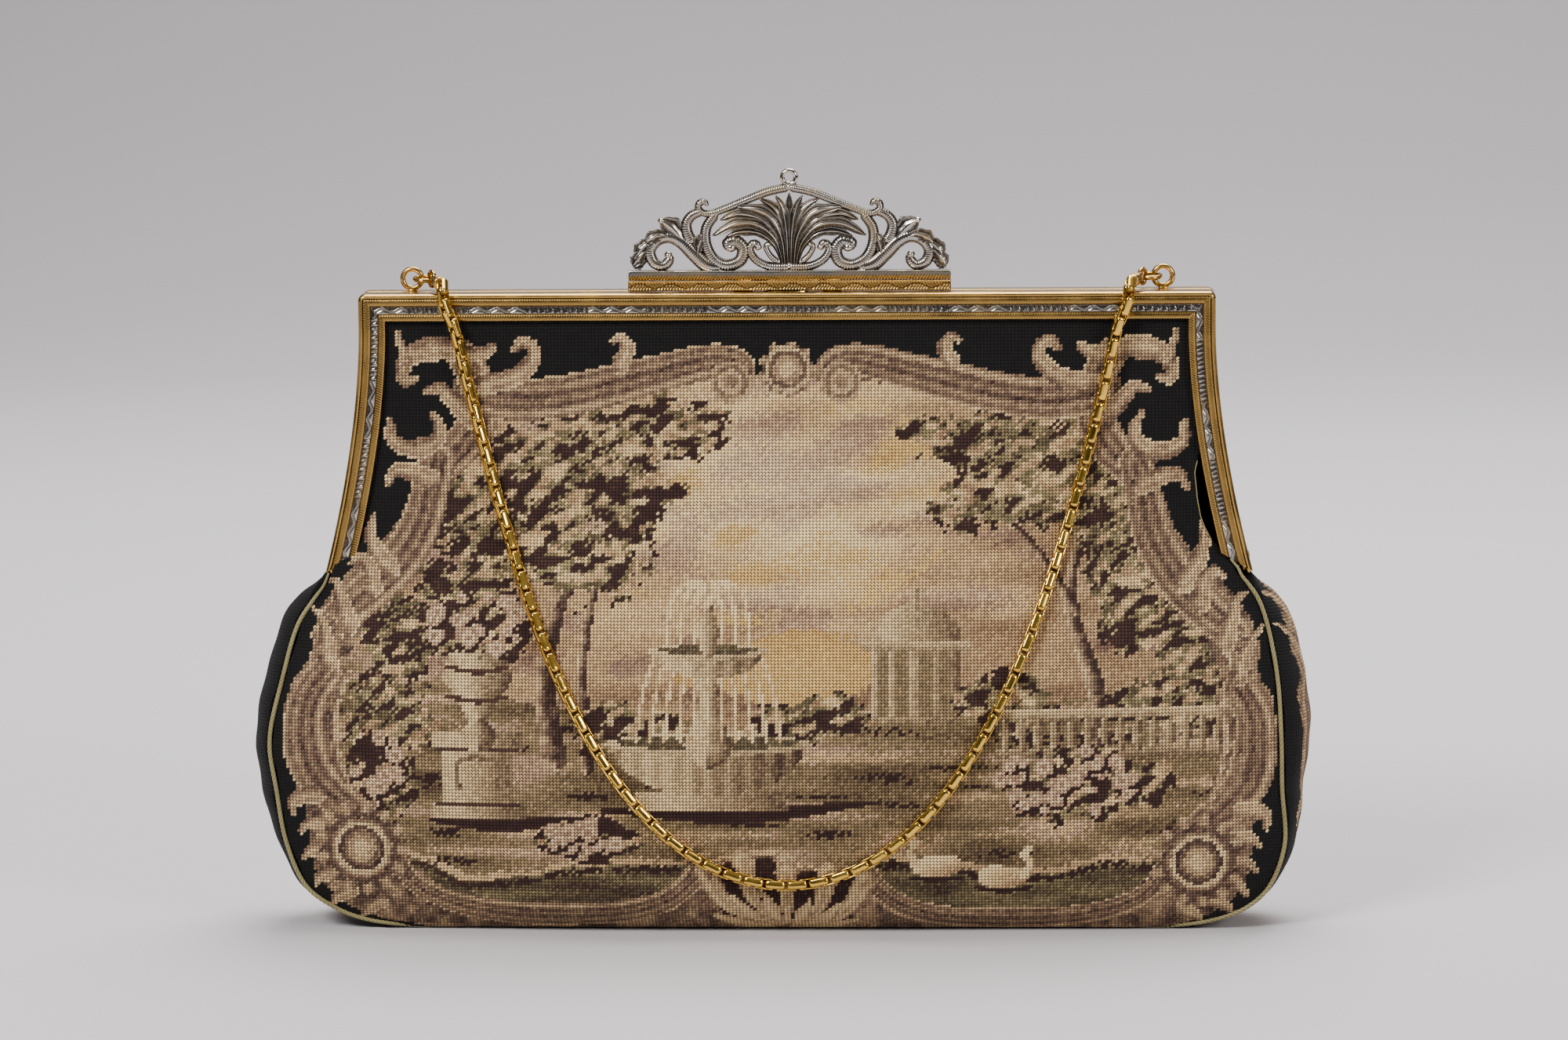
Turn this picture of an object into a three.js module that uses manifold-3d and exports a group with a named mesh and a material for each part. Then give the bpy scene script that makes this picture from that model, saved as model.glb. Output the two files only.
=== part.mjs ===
// A petit point evening bag on a gilt hinged frame: two embroidered panels piped together,
// a pair of half-frames riveted at the hinge, a lever clasp under a pierced silver crest, and a chain.
// Millimetres. X runs to the right, Y to the back, Z up, and the bag stands on Z = 0.
import * as THREE from "three";
import { mergeVertices } from "three/addons/utils/BufferGeometryUtils.js";
import Module from "manifold-3d";

const wasm = await Module();
wasm.setup();

// Clearance between pieces that touch
const GAP = 0.3;

// Frame: a banded channel that runs straight along the top and flares down to the hinges
const FRAME_TOP = 133;
const FRAME_HALF_WIDTH = 89.2;
const FRAME_FOOT = 78;
const FLARE_TOP = 125;
const FLARE = 6.9;
const FLARE_POWER = 1.7;
const FACE_WIDTH = 5.7;
const FACE_DEPTH = 6.1;
const PLATE_BACK = 5;
const CORNER_START = 4.2;
const PARTING_GAP = 0.15;
const ARM_STATIONS = 9;
const CORNER_STEPS = 3;
const ARM_HEAD = FRAME_TOP - FACE_WIDTH - 2;

// Hinge: the front half's ear lies inside the back half's, which a joggle carries outwards
const HINGE_Z = 74.6;
const EAR_RADIUS = 2.4;
const EAR_THICKNESS = 1;
const EAR_ROOT = 5.4;
const EAR_HEAD = FRAME_FOOT + 3;
const FRONT_EAR_X = 94.9;
const BACK_EAR_X = 96.2;
const JOGGLE = { y: 3.4, depth: 3.6, height: 2.2, rise: 1.7 };
const RIVET_RADIUS = 0.8;
const RIVET_HEAD_RADIUS = 1.5;
const RIVET_HEAD_HEIGHT = 0.5;

// Cloth: wall, seam, and how the panels swell
const WALL = 1.5;
const PIPING_RADIUS = 0.7;
const PIPING_PROUD = 0.55;
const SEAM_LIP = 1.1;
const SEAM_GAP = 1.4;
const CROWN_POWER = 2.6;
const CROWN_SOFTNESS = 0.8;
const BACK_POWER = 3.2;
const BACK_SOFTNESS = 0.36;
const PANEL_TOP = 129.5;
const FRONT_COLUMNS = 16;
const FRONT_SPREAD = Math.PI * 0.46;
const MARGIN_COLUMNS = 3;
const BACK_COLUMNS = 7;
const BASE_ROWS = [1, 0.85, 0.6, 0.4, 0.15];
const BASE_ROUNDING = 8;

// Clasp: a lever across the top, turning on a pin behind, with a tongue into the front half
const LEVER_LENGTH = 68;
const LEVER_HEIGHT = 2.4;
const LEVER_DEPTH = 6.4;
const LEVER_FOOT = FRAME_TOP + 0.25;
const KNUCKLE_RADIUS = 1.25;
const KNUCKLE_HALF = 7;
const NECK_HEIGHT = 1.4;
const LUG_LENGTH = 4;
const PIN_RADIUS = 0.5;
const PIN_GAP = 0.2;
const PIN_HALF = KNUCKLE_HALF + GAP + LUG_LENGTH;
const CLASP_AXIS_Y = 4.6;
const CLASP_AXIS_Z = FRAME_TOP + KNUCKLE_RADIUS + 0.2;
const TONGUE = { width: 8, depth: 0.8, y: -2.4, drop: 2 };
const SLOT = { width: 9, depth: 2.7, y: -2.75, drop: 2, height: 3 };

// Crest: cast on a rail that stands on the lever
const RAIL_HEIGHT = 1.5;
const RAIL_DEPTH = 3.4;
const RAIL_FOOT = LEVER_FOOT + LEVER_HEIGHT + 0.1;
const CREST_FOOT = RAIL_FOOT + RAIL_HEIGHT;
const SCROLL_DEPTH = 2;
const LEAF_DEPTH = 1.7;
const BOSS_RADIUS = 1.8;
const FINIAL_Z = 20.5;
const FINIAL_RADIUS = 1.4;
const FINIAL_WIRE = 0.42;

// Rings and chain: eyelet, jump ring, end loop with its cap, and the hanging chain
const EYELET_X = 78.4;
const EYELET_Y = 1.1;
const EYELET_FOOT = { width: 1.8, depth: 1, height: 1, sunk: 0.3 };
const RING_RADIUS = 2;
const RING_WIRE = 0.5;
const RING_TILT = 0.12;
const JUMP_WIRE = 0.45;
const JUMP_X = EYELET_X - RING_RADIUS - 0.6;
const JUMP_Y = EYELET_Y - 0.5;
const EYELET_Z = FRAME_TOP + RING_RADIUS + RING_WIRE + 0.1;
const END_LOOP_RADIUS = 1.5;
const END_LOOP_WIRE = 0.42;
const CHAIN_RADIUS = 1.2;
const CAP_RADIUS = 1.14;
const CHAIN_SPAN_HALF = 71;
const CHAIN_LOW = 11.3;
const CHAIN_RESTING = 0.93;
const CATENARY = 30.8;
const HANG_POINTS = 33;
const CHAIN_STEPS = 54;
const END_LOOP = new THREE.Vector3(74.1, -0.9, EYELET_Z + 0.1);
const CAP_END = new THREE.Vector3(CHAIN_SPAN_HALF + 0.9, -5.2, FRAME_TOP + 2.1);

const GILT = { color: 0xb98a3c, roughness: 0.32, metalness: 1 };
const BRIGHT_GILT = { color: 0xd9a520, roughness: 0.24, metalness: 1 };
const SILVER = { color: 0xb4b0a8, roughness: 0.3, metalness: 1 };
const PETIT_POINT = { color: 0x9c8468, roughness: 0.92, metalness: 0 };
const PIPING_CORD = { color: 0xb3a67d, roughness: 0.6, metalness: 0 };

// Each row is one level of the pouch, from the base to the mouth. left and right are where the piped
// seam, or higher up the panel's edge, stands from the middle. edge is how far forward that seam lies,
// crown how far forward the front's middle stands, wide how far the back panel swells past the seam,
// back how far the back's middle stands behind, rim where the back panel's own edge lies (Y), and tuck
// the flat margin at the edges.
const LEVELS = [
  { z: 1.3, left: 84, right: 84, edge: 12, crown: 14, wide: 1.5, back: 14, rim: -12, tuck: 1 },
  { z: 3.5, left: 92, right: 92.6, edge: 12.5, crown: 17.5, wide: 3, back: 17, rim: -12.5, tuck: 1 },
  { z: 9, left: 98.8, right: 100, edge: 12.8, crown: 20.6, wide: 3.6, back: 20, rim: -12.8, tuck: 1 },
  { z: 18, left: 103.6, right: 104.2, edge: 13, crown: 22.6, wide: 3.8, back: 22, rim: -13, tuck: 1 },
  { z: 30, left: 106, right: 104.2, edge: 13, crown: 23.6, wide: 4.5, back: 23, rim: -13, tuck: 1 },
  { z: 44, left: 106.2, right: 103.4, edge: 12.4, crown: 23.4, wide: 5.4, back: 23, rim: -12.4, tuck: 1 },
  { z: 56, left: 103.6, right: 102, edge: 10.6, crown: 21.6, wide: 5.6, back: 21, rim: -10.6, tuck: 1 },
  { z: 64, left: 100.4, right: 99.8, edge: 8.6, crown: 19.4, wide: 5, back: 18.6, rim: -8.6, tuck: 1 },
  { z: 69, left: 97, right: 97, edge: 7.2, crown: 18, wide: 3, back: 17, rim: -7.2, tuck: 1.2 },
  { z: 72, left: 93.8, right: 93.8, edge: 6.4, crown: 17, wide: 0.6, back: 16, rim: -5.6, tuck: 1.6 },
  { z: 75.5, left: 92, right: 92, edge: 5.4, crown: 15.8, wide: 0.4, back: 14.8, rim: 0.4, tuck: 2 },
  { z: 79.5, left: 91.4, right: 91.4, edge: 4.7, crown: 14.4, wide: 0, back: 13.4, rim: 4.7, tuck: 2.2 },
  { z: 87, left: 90, right: 90, edge: 4.7, crown: 12, wide: 0, back: 11.2, rim: 4.7, tuck: 2.4 },
  { z: 100, left: 87.6, right: 87.6, edge: 4.7, crown: 8.6, wide: 0, back: 8.2, rim: 4.7, tuck: 2.4 },
  { z: 114, left: 86, right: 86, edge: 4.7, crown: 6, wide: 0, back: 5.8, rim: 4.7, tuck: 2.6 },
  { z: 125, left: 85.6, right: 85.6, edge: 4.7, crown: 4.9, wide: 0, back: 4.9, rim: 4.7, tuck: 2.6 },
  { z: PANEL_TOP, left: 85.6, right: 85.6, edge: 4.7, crown: 4.7, wide: 0, back: 4.7, rim: 4.7, tuck: 2.6 },
];

// Where the panels and the piping have their rows, as places in the table of levels
const FRONT_ROWS = [0, 0.5, 1, 1.5, 2, 3, 4, 5, 5.5, 6, 6.5, 7, 8, 9, 10, 11, 12, 13, 14, 15, 16];
const BACK_ROWS = [0, 0.5, 1, 1.5, 2, 3, 4, 5, 6, 7, 7.5, 8, 8.5, 9, 9.5, 10, 11, 12, 13, 14, 15, 16];
const PIPING_STOPS = [9.2, 8, 7, 6, 5, 4, 3, 2, 1.3, 0.6];
const PIPING_BASE_SHARES = [-0.94, -0.8, -0.5, 0, 0.5, 0.8, 0.94];
const PIPING_STEPS = 58;

// The front's right edge has come away from the frame's arm: the slit's foot, head and greatest width.
const SLIT = { foot: 76, head: 112, width: 3.6 };

// Soft pulls in the front cloth, from the hinges towards the belly: where each ridge starts and ends,
// how wide it is and how far it stands out, where a minus is a hollow.
const FOLDS = [
  { x: -86, z: 72, toX: -58, toZ: 92, width: 5, height: 1.1 },
  { x: -92, z: 64, toX: -62, toZ: 78, width: 4.5, height: -0.9 },
  { x: -94, z: 56, toX: -66, toZ: 64, width: 5, height: 0.8 },
  { x: 84, z: 74, toX: 68, toZ: 102, width: 4, height: 1 },
  { x: 88, z: 66, toX: 72, toZ: 84, width: 4, height: -0.8 },
  { x: 92, z: 52, toX: 70, toZ: 66, width: 5, height: 0.7 },
  { x: -60, z: 6, toX: -20, toZ: 9, width: 4, height: 0.7 },
  { x: 16, z: 8, toX: 62, toZ: 5, width: 4, height: -0.7 },
];

// The section of one half-frame: out is measured from its inner edge, front from the parting plane.
const FRAME_SECTION = [
  { out: 0, front: PLATE_BACK },
  { out: 0, front: 5.85 },
  { out: 0.4, front: FACE_DEPTH },
  { out: 1.2, front: FACE_DEPTH },
  { out: 1.55, front: 5.8 },
  { out: 3.1, front: 5.8 },
  { out: 3.45, front: FACE_DEPTH },
  { out: CORNER_START, front: FACE_DEPTH },
  { out: 5.2, front: 5.75 },
  { out: FACE_WIDTH, front: PLATE_BACK },
  { out: FACE_WIDTH, front: PARTING_GAP },
  { out: 4.8, front: PARTING_GAP },
  { out: 4.8, front: 4.6 },
  { out: 4.4, front: PLATE_BACK },
];

// The crest's scrolls on its right half, above the rail: each path is the middle line of a bar that
// tapers from one thickness to the other.
const SCROLLS = [
  // Gable bar with its curl, great volute, and the small scroll at the palmette's foot
  { from: 1.6, to: 1.2, path: [[0, 18.4], [6.6, 16.6], [13.3, 14.6], [17, 13], [18.6, 14.2]] },
  {
    from: 1.1,
    to: 1.5,
    path: [[14.7, 13.4], [16.9, 9.4], [17.1, 6], [15.4, 2.2], [12.3, 0.7], [9.6, 2.6], [9.8, 5.7], [12, 5.2]],
  },
  { from: 1.2, to: 1, path: [[0, 0.7], [4.7, 0.7], [7.5, 2.6], [8, 5.3], [6.2, 5.2]] },
  // Acanthus stem with its curl, and the bract beside the volute
  {
    from: 1.5,
    to: 1.2,
    path: [
      [15.4, 0.3], [20.5, 3.1], [24.3, 7], [27.7, 7.4], [28.9, 5], [27.9, 1.9], [25.5, 1.5], [25.1, 3.4],
    ],
  },
  { from: 1.2, to: 0.7, path: [[17.4, 5], [19.4, 8], [20.7, 11.6]] },
  // Leaf tips along the stem's outer side
  { from: 1.7, to: 0.7, path: [[22.3, 5], [24.4, 8.8], [26.5, 11.3]] },
  { from: 1.6, to: 0.7, path: [[25.4, 7.2], [28.2, 8.6], [30.6, 7.9]] },
  { from: 1.5, to: 0.7, path: [[28.1, 6.8], [30.4, 6.4], [32, 4.6]] },
  { from: 1.4, to: 0.7, path: [[28.7, 4.4], [31.2, 3.4], [33, 1]] },
];

// The palmette's leaves, fanned from its foot: where each leaf bends, where its tip lies and its breadth.
const PALMETTE_FOOT = [0, 1];
const LEAVES = [
  { bend: [0, 8], tip: [0, 16.6], breadth: 2.2 },
  { bend: [1, 8.4], tip: [2.9, 15.9], breadth: 2.1 },
  { bend: [2.4, 8.4], tip: [6.3, 14.7], breadth: 2.1 },
  { bend: [3.6, 8], tip: [9.9, 13.1], breadth: 2 },
  { bend: [4.6, 7.4], tip: [13.4, 11.3], breadth: 1.9 },
  { bend: [5, 6], tip: [15.6, 8], breadth: 1.8 },
];
const LEAF_BREADTHS = [0.35, 0.6, 0.9, 1, 0.25];
const DIAMOND = [[1, 0], [0, 1], [-1, 0], [0, -1]].map(([x, y]) => new THREE.Vector2(x, y));

// A smooth row of the table of levels at a place between two of its rows.
function levelAt(place) {
  const last = LEVELS.length - 1;
  const i = Math.min(Math.floor(place), last - 1);
  const t = place - i;
  const rows = [-1, 0, 1, 2].map((k) => LEVELS[THREE.MathUtils.clamp(i + k, 0, last)]);
  const smooth = (key) => {
    const [a, b, c, d] = rows.map((row) => row[key]);
    return b + 0.5 * t * (c - a + t * (2 * a - 5 * b + 4 * c - d + t * (3 * (b - c) + d - a)));
  };
  return Object.fromEntries(Object.keys(LEVELS[0]).map((key) => [key, smooth(key)]));
}

// The level whose height is z, found by halving.
function levelAtHeight(z) {
  const halvings = 40;
  let low = 0;
  let high = LEVELS.length - 1;
  for (let step = 0; step < halvings; step++) {
    const middle = (low + high) / 2;
    if (levelAt(middle).z < z) low = middle;
    else high = middle;
  }
  return levelAt(low);
}

// How far the pulls raise the front cloth at a place: each swells along its length and fades sideways.
function foldHeight(x, z) {
  return FOLDS.reduce((sum, fold) => {
    const along = new THREE.Vector2(fold.toX - fold.x, fold.toZ - fold.z);
    const from = new THREE.Vector2(x - fold.x, z - fold.z);
    const share = THREE.MathUtils.clamp(from.dot(along) / along.lengthSq(), 0, 1);
    const off = from.sub(along.multiplyScalar(share)).length() / fold.width;
    return sum + fold.height * Math.sin(Math.PI * (0.1 + 0.8 * share)) * Math.exp(-off * off);
  }, 0);
}

// How far the front cloth stands forward of the parting plane at x on a level.
function frontDepth(x, level) {
  const reach = (x < 0 ? level.left : level.right) - level.tuck;
  const share = Math.min(Math.abs(x) / reach, 1);
  const swell = (1 - share ** CROWN_POWER) ** CROWN_SOFTNESS;
  return level.edge + swell * (level.crown - level.edge + foldHeight(x, level.z));
}

// The frame's outer half-width at height z.
function frameHalfWidth(z) {
  const drop = Math.max(0, (FLARE_TOP - z) / (FLARE_TOP - FRAME_FOOT));
  return FRAME_HALF_WIDTH + FLARE * drop ** FLARE_POWER;
}

// A geometry from triangles of points, with equal points merged and flattened triangles dropped.
function geometryOf(triangles) {
  const flat = new Float32Array(triangles.flatMap((t) => t.flatMap((p) => [p.x, p.y, p.z])));
  const loose = new THREE.BufferGeometry();
  loose.setAttribute("position", new THREE.BufferAttribute(flat, 3));
  const merged = mergeVertices(loose, 1e-3);
  const index = [];
  for (let i = 0; i < merged.index.count; i += 3) {
    const [a, b, c] = [0, 1, 2].map((k) => merged.index.getX(i + k));
    if (a !== b && b !== c && c !== a) index.push(a, b, c);
  }
  merged.setIndex(index);
  return merged;
}

// A solid that can be cut and joined, from a closed geometry.
function solidOf(geometry) {
  const bare = geometry.clone();
  bare.deleteAttribute("normal");
  bare.deleteAttribute("uv");
  const merged = mergeVertices(bare, 1e-4);
  const mesh = new wasm.Mesh({
    numProp: 3,
    vertProperties: new Float32Array(merged.attributes.position.array),
    triVerts: new Uint32Array(merged.index.array),
  });
  return new wasm.Manifold(mesh);
}

function geometryFrom(solid) {
  const mesh = solid.getMesh();
  const geometry = new THREE.BufferGeometry();
  geometry.setAttribute("position", new THREE.BufferAttribute(mesh.vertProperties, 3));
  geometry.setIndex(new THREE.BufferAttribute(mesh.triVerts, 1));
  return geometry;
}

// The same geometry with every triangle wound the other way.
function turnedOut(geometry) {
  const index = geometry.index.array;
  for (let i = 0; i < index.length; i += 3) [index[i], index[i + 1]] = [index[i + 1], index[i]];
  return geometry;
}

function mirrored(geometry) {
  geometry.scale(-1, 1, 1);
  return turnedOut(geometry);
}

// A closed cloth wall: a grid of outer points, given a second skin one wall further in.
function clothWall(grid, turned) {
  const triangles = [];
  for (let r = 0; r + 1 < grid.length; r++) {
    for (let c = 0; c + 1 < grid[r].length; c++) {
      const [a, b, d, e] = [grid[r][c], grid[r][c + 1], grid[r + 1][c], grid[r + 1][c + 1]];
      if (turned) triangles.push([a, d, b], [b, d, e]);
      else triangles.push([a, b, d], [b, e, d]);
    }
  }
  const outer = geometryOf(triangles);
  outer.computeVertexNormals();
  const { position, normal } = outer.attributes;
  const point = (i) => new THREE.Vector3().fromBufferAttribute(position, i);
  const inward = (i) => point(i).addScaledVector(new THREE.Vector3().fromBufferAttribute(normal, i), -WALL);
  const open = new Map();
  const wall = [];
  for (let i = 0; i < outer.index.count; i += 3) {
    const corner = [0, 1, 2].map((k) => outer.index.getX(i + k));
    wall.push(corner.map(point), corner.toReversed().map(inward));
    corner.forEach((a, k) => {
      const b = corner[(k + 1) % 3];
      if (!open.delete(`${b},${a}`)) open.set(`${a},${b}`, [a, b]);
    });
  }
  for (const [a, b] of open.values()) {
    wall.push([point(b), point(a), inward(a)], [point(b), inward(a), inward(b)]);
  }
  return geometryOf(wall);
}

// A solid through rings of points, closed at both ends by the section's own outline.
function ringSolid(rings, outline) {
  const triangles = [];
  const count = outline.length;
  for (let r = 0; r + 1 < rings.length; r++) {
    for (let i = 0; i < count; i++) {
      const j = (i + 1) % count;
      const [a, b, c, d] = [rings[r][i], rings[r][j], rings[r + 1][i], rings[r + 1][j]];
      triangles.push([a, b, c], [b, d, c]);
    }
  }
  const last = rings.at(-1);
  const clockwise = THREE.ShapeUtils.isClockWise(outline);
  for (const face of THREE.ShapeUtils.triangulateShape(outline, [])) {
    const [a, b, c] = clockwise ? face.toReversed() : face;
    triangles.push([rings[0][c], rings[0][b], rings[0][a]], [last[a], last[b], last[c]]);
  }
  const geometry = geometryOf(triangles);
  return solidOf(geometry).volume() < 0 ? turnedOut(geometry) : geometry;
}

// A diamond-section bar along a curve in the crest's plane: halfWidths gives its rings' half-widths.
function castBar(curve, halfWidths, depth) {
  const rings = halfWidths.map((halfWidth, i) => {
    const share = i / (halfWidths.length - 1);
    const middle = curve.getPoint(share);
    const along = curve.getTangent(share);
    const across = new THREE.Vector3(-along.z, 0, along.x).normalize();
    return DIAMOND.map((o) => {
      const spot = middle.clone().addScaledVector(across, o.x * halfWidth);
      spot.y += (o.y * depth) / 2;
      return spot;
    });
  });
  return solidOf(ringSolid(rings, DIAMOND));
}

// A many-sided tube along a path.
function tube(path, radius, sides, steps) {
  const corners = Array.from({ length: sides }, (_, k) => {
    const turn = (k / sides) * 2 * Math.PI;
    return new THREE.Vector2(radius * Math.cos(turn), radius * Math.sin(turn));
  });
  const section = new THREE.Shape(corners);
  return new THREE.ExtrudeGeometry(section, { steps, extrudePath: path, bevelEnabled: false });
}

function ring(radius, wire) {
  return new THREE.TorusGeometry(radius, wire, 5, 12);
}

function box({ width, depth, height, x = 0, y, bottom }) {
  const geometry = new THREE.BoxGeometry(width, depth, height);
  geometry.translate(x, y, bottom + height / 2);
  return solidOf(geometry);
}

// A round bar along the clasp's axis.
function claspBarrel(radius, length, x) {
  const geometry = new THREE.CylinderGeometry(radius, radius, length, 12);
  geometry.rotateZ(Math.PI / 2);
  geometry.translate(x, CLASP_AXIS_Y, CLASP_AXIS_Z);
  return geometry;
}

// How far the front's right edge has come away from the arm at height z.
function slitWidth(z) {
  const share = THREE.MathUtils.clamp((z - SLIT.foot) / (SLIT.head - SLIT.foot), 0, 1);
  return SLIT.width * Math.sin(Math.PI * share);
}

// Front panel: rows from the base to the mouth, columns from the left seam to the right. Its lowest
// rows are lifted to leave the piping room.
function frontPanel() {
  const grid = FRONT_ROWS.map((place) => {
    const level = levelAt(place);
    level.right -= slitWidth(level.z);
    level.z += SEAM_LIP * Math.max(0, 1 - place / 2);
    const inner = Array.from({ length: FRONT_COLUMNS + 1 }, (_, c) => {
      const share = Math.sin(((c / FRONT_COLUMNS) * 2 - 1) * FRONT_SPREAD) / Math.sin(FRONT_SPREAD);
      return share * ((share < 0 ? level.left : level.right) - level.tuck - SEAM_LIP);
    });
    const xs = [-level.left + SEAM_LIP, ...inner, level.right - SEAM_LIP];
    return xs.map((x) => new THREE.Vector3(x, -frontDepth(x, level), level.z));
  });
  return clothWall(grid, false);
}

// The turn along the wrapped side that leaves the piping its room: where the quarter ellipse is one seam
// gap away from its start.
function seamTurn(wide, edge) {
  const reach = Math.sqrt(wide ** 4 + (edge * SEAM_GAP) ** 2) - wide ** 2;
  return Math.sqrt((2 * reach) / edge ** 2);
}

// One side of a level of the back panel, from its edge to the middle: a margin that wraps round the
// side below the hinge and lies flat behind the frame above it, and then the swell of the back.
function backSide(level, seam) {
  const wrap = THREE.MathUtils.clamp(-level.rim / level.edge, 0, 1);
  const turnStart = Math.min(Math.acos(wrap) + seamTurn(level.wide, level.edge) * wrap, Math.PI / 2);
  const margin = Array.from({ length: MARGIN_COLUMNS }, (_, i) => {
    const share = i / MARGIN_COLUMNS;
    const turn = THREE.MathUtils.lerp(turnStart, Math.PI / 2, share);
    if (wrap > 0) return new THREE.Vector2(seam + level.wide * Math.sin(turn), -level.edge * Math.cos(turn));
    return new THREE.Vector2(seam - level.tuck * share, level.rim);
  });
  const reach = wrap > 0 ? seam + level.wide : seam - level.tuck;
  const foot = Math.max(level.rim, 0);
  const power = THREE.MathUtils.lerp(CROWN_POWER, BACK_POWER, wrap);
  const softness = THREE.MathUtils.lerp(CROWN_SOFTNESS, BACK_SOFTNESS, wrap);
  const swell = Array.from({ length: BACK_COLUMNS + 1 }, (_, i) => {
    const x = reach * Math.cos(((i / BACK_COLUMNS) * Math.PI) / 2);
    const rise = (1 - (x / reach) ** power) ** softness;
    return new THREE.Vector2(x, foot + (level.back - foot) * rise);
  });
  return [...margin, ...swell];
}

// Back panel: it wraps round the sides and under the flat base to the seam at the front.
function backPanel() {
  const levelRow = (level) => {
    const left = backSide(level, level.left).map((p) => new THREE.Vector3(-p.x, p.y, level.z));
    const right = backSide(level, level.right).map((p) => new THREE.Vector3(p.x, p.y, level.z));
    left.at(-1).x = 0;
    return [...left, ...right.slice(0, -1).reverse()];
  };
  const upper = BACK_ROWS.map((place) => levelRow(levelAt(place)));
  const base = LEVELS[0];
  const under = BASE_ROWS.map((share) =>
    upper[0].map((p) => {
      const x = THREE.MathUtils.clamp(p.x, -base.left, base.right);
      const seam = new THREE.Vector3(x, Math.min(p.y, -frontDepth(x, base) + SEAM_LIP), base.z);
      const spot = p.clone().lerp(seam, share);
      const flat = share < 1 ? Math.min(1, p.distanceTo(seam) / BASE_ROUNDING) : 0;
      spot.z = base.z * (1 - flat);
      return spot;
    }),
  );
  return clothWall([...under, ...upper], true);
}

// The piped seam: down one side from the hinge, along the base, and up the other.
function pipingPath() {
  const lean = PIPING_PROUD * 0.4;
  const side = (sign) =>
    PIPING_STOPS.map((place) => {
      const level = levelAt(place);
      const x = sign * ((sign < 0 ? level.left : level.right) + PIPING_PROUD);
      return new THREE.Vector3(x, -level.edge - lean, level.z - (place < 1.5 ? lean : 0));
    });
  const base = LEVELS[0];
  const bottom = PIPING_BASE_SHARES.map((share) => {
    const x = share * base.left;
    return new THREE.Vector3(x, -frontDepth(x, base) - 0.1, PIPING_RADIUS + 0.25);
  });
  return new THREE.CatmullRomCurve3([...side(-1), ...bottom, ...side(1).reverse()], false, "centripetal");
}

// Where a half-frame's section stands, station by station, from the left foot over the top to the right.
function frameStations() {
  const arm = (sign) =>
    Array.from({ length: ARM_STATIONS }, (_, s) => {
      const z = THREE.MathUtils.lerp(FRAME_FOOT, ARM_HEAD, s / (ARM_STATIONS - 1));
      return (out) => [sign * (frameHalfWidth(z) - FACE_WIDTH + out), z];
    });
  const corner = (sign) =>
    Array.from({ length: CORNER_STEPS + 1 }, (_, s) => {
      const turn = (s / CORNER_STEPS) * (Math.PI / 2);
      return (out) => {
        const mitre = Math.min(out, CORNER_START);
        const rest = out - mitre;
        const x = FRAME_HALF_WIDTH - FACE_WIDTH + mitre + rest * Math.cos(turn);
        return [sign * x, FRAME_TOP - FACE_WIDTH + mitre + rest * Math.sin(turn)];
      };
    });
  return [...arm(-1), ...corner(-1), ...corner(1).reverse(), ...arm(1).reverse()];
}

// One half-frame: the banded channel with an ear at each foot for the rivet. back is 1 or -1.
function halfFrame(back) {
  const outline = FRAME_SECTION.map((p) => new THREE.Vector2(p.out, p.front));
  const rings = frameStations().map((station) =>
    FRAME_SECTION.map((p) => {
      const [x, z] = station(p.out);
      return new THREE.Vector3(x, back * p.front, z);
    }),
  );
  const hole = new THREE.CylinderGeometry(RIVET_RADIUS + GAP, RIVET_RADIUS + GAP, 4 * FRAME_HALF_WIDTH, 12);
  hole.rotateZ(Math.PI / 2);
  hole.translate(0, 0, HINGE_Z);
  const channel = solidOf(ringSolid(rings, outline));
  return channel.add(hingeEar(-1, back)).add(hingeEar(1, back)).subtract(solidOf(hole));
}

// An ear in the plane of the side: a rounded tab round the rivet, carried up into the arm.
function hingeEar(sign, back) {
  const tab = new THREE.Shape();
  tab.moveTo(EAR_ROOT, EAR_HEAD);
  tab.lineTo(1, EAR_HEAD);
  tab.lineTo(0.6, FRAME_FOOT - 0.4);
  tab.lineTo(-EAR_RADIUS, HINGE_Z + 0.6);
  tab.absarc(0, HINGE_Z, EAR_RADIUS, Math.PI - 0.25, 2 * Math.PI - 0.7, false);
  tab.lineTo(EAR_ROOT, FRAME_FOOT + 0.4);
  tab.closePath();
  const x = back < 0 ? FRONT_EAR_X : BACK_EAR_X;
  const thickness = { depth: EAR_THICKNESS, bevelEnabled: false, curveSegments: 6 };
  const plate = new THREE.ExtrudeGeometry(tab, thickness);
  const upright = new THREE.Matrix4().makeBasis(
    new THREE.Vector3(0, back, 0),
    new THREE.Vector3(0, 0, 1),
    new THREE.Vector3(back, 0, 0),
  );
  plate.applyMatrix4(upright);
  plate.translate(sign * (x + EAR_THICKNESS / 2) - (back * EAR_THICKNESS) / 2, 0, 0);
  if (back < 0) return solidOf(plate);
  const outside = BACK_EAR_X + EAR_THICKNESS;
  const joggle = box({
    ...JOGGLE,
    width: outside - FRONT_EAR_X,
    x: (sign * (outside + FRONT_EAR_X)) / 2,
    bottom: FRAME_FOOT + JOGGLE.rise - JOGGLE.height / 2,
  });
  return solidOf(plate).add(joggle);
}

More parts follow.
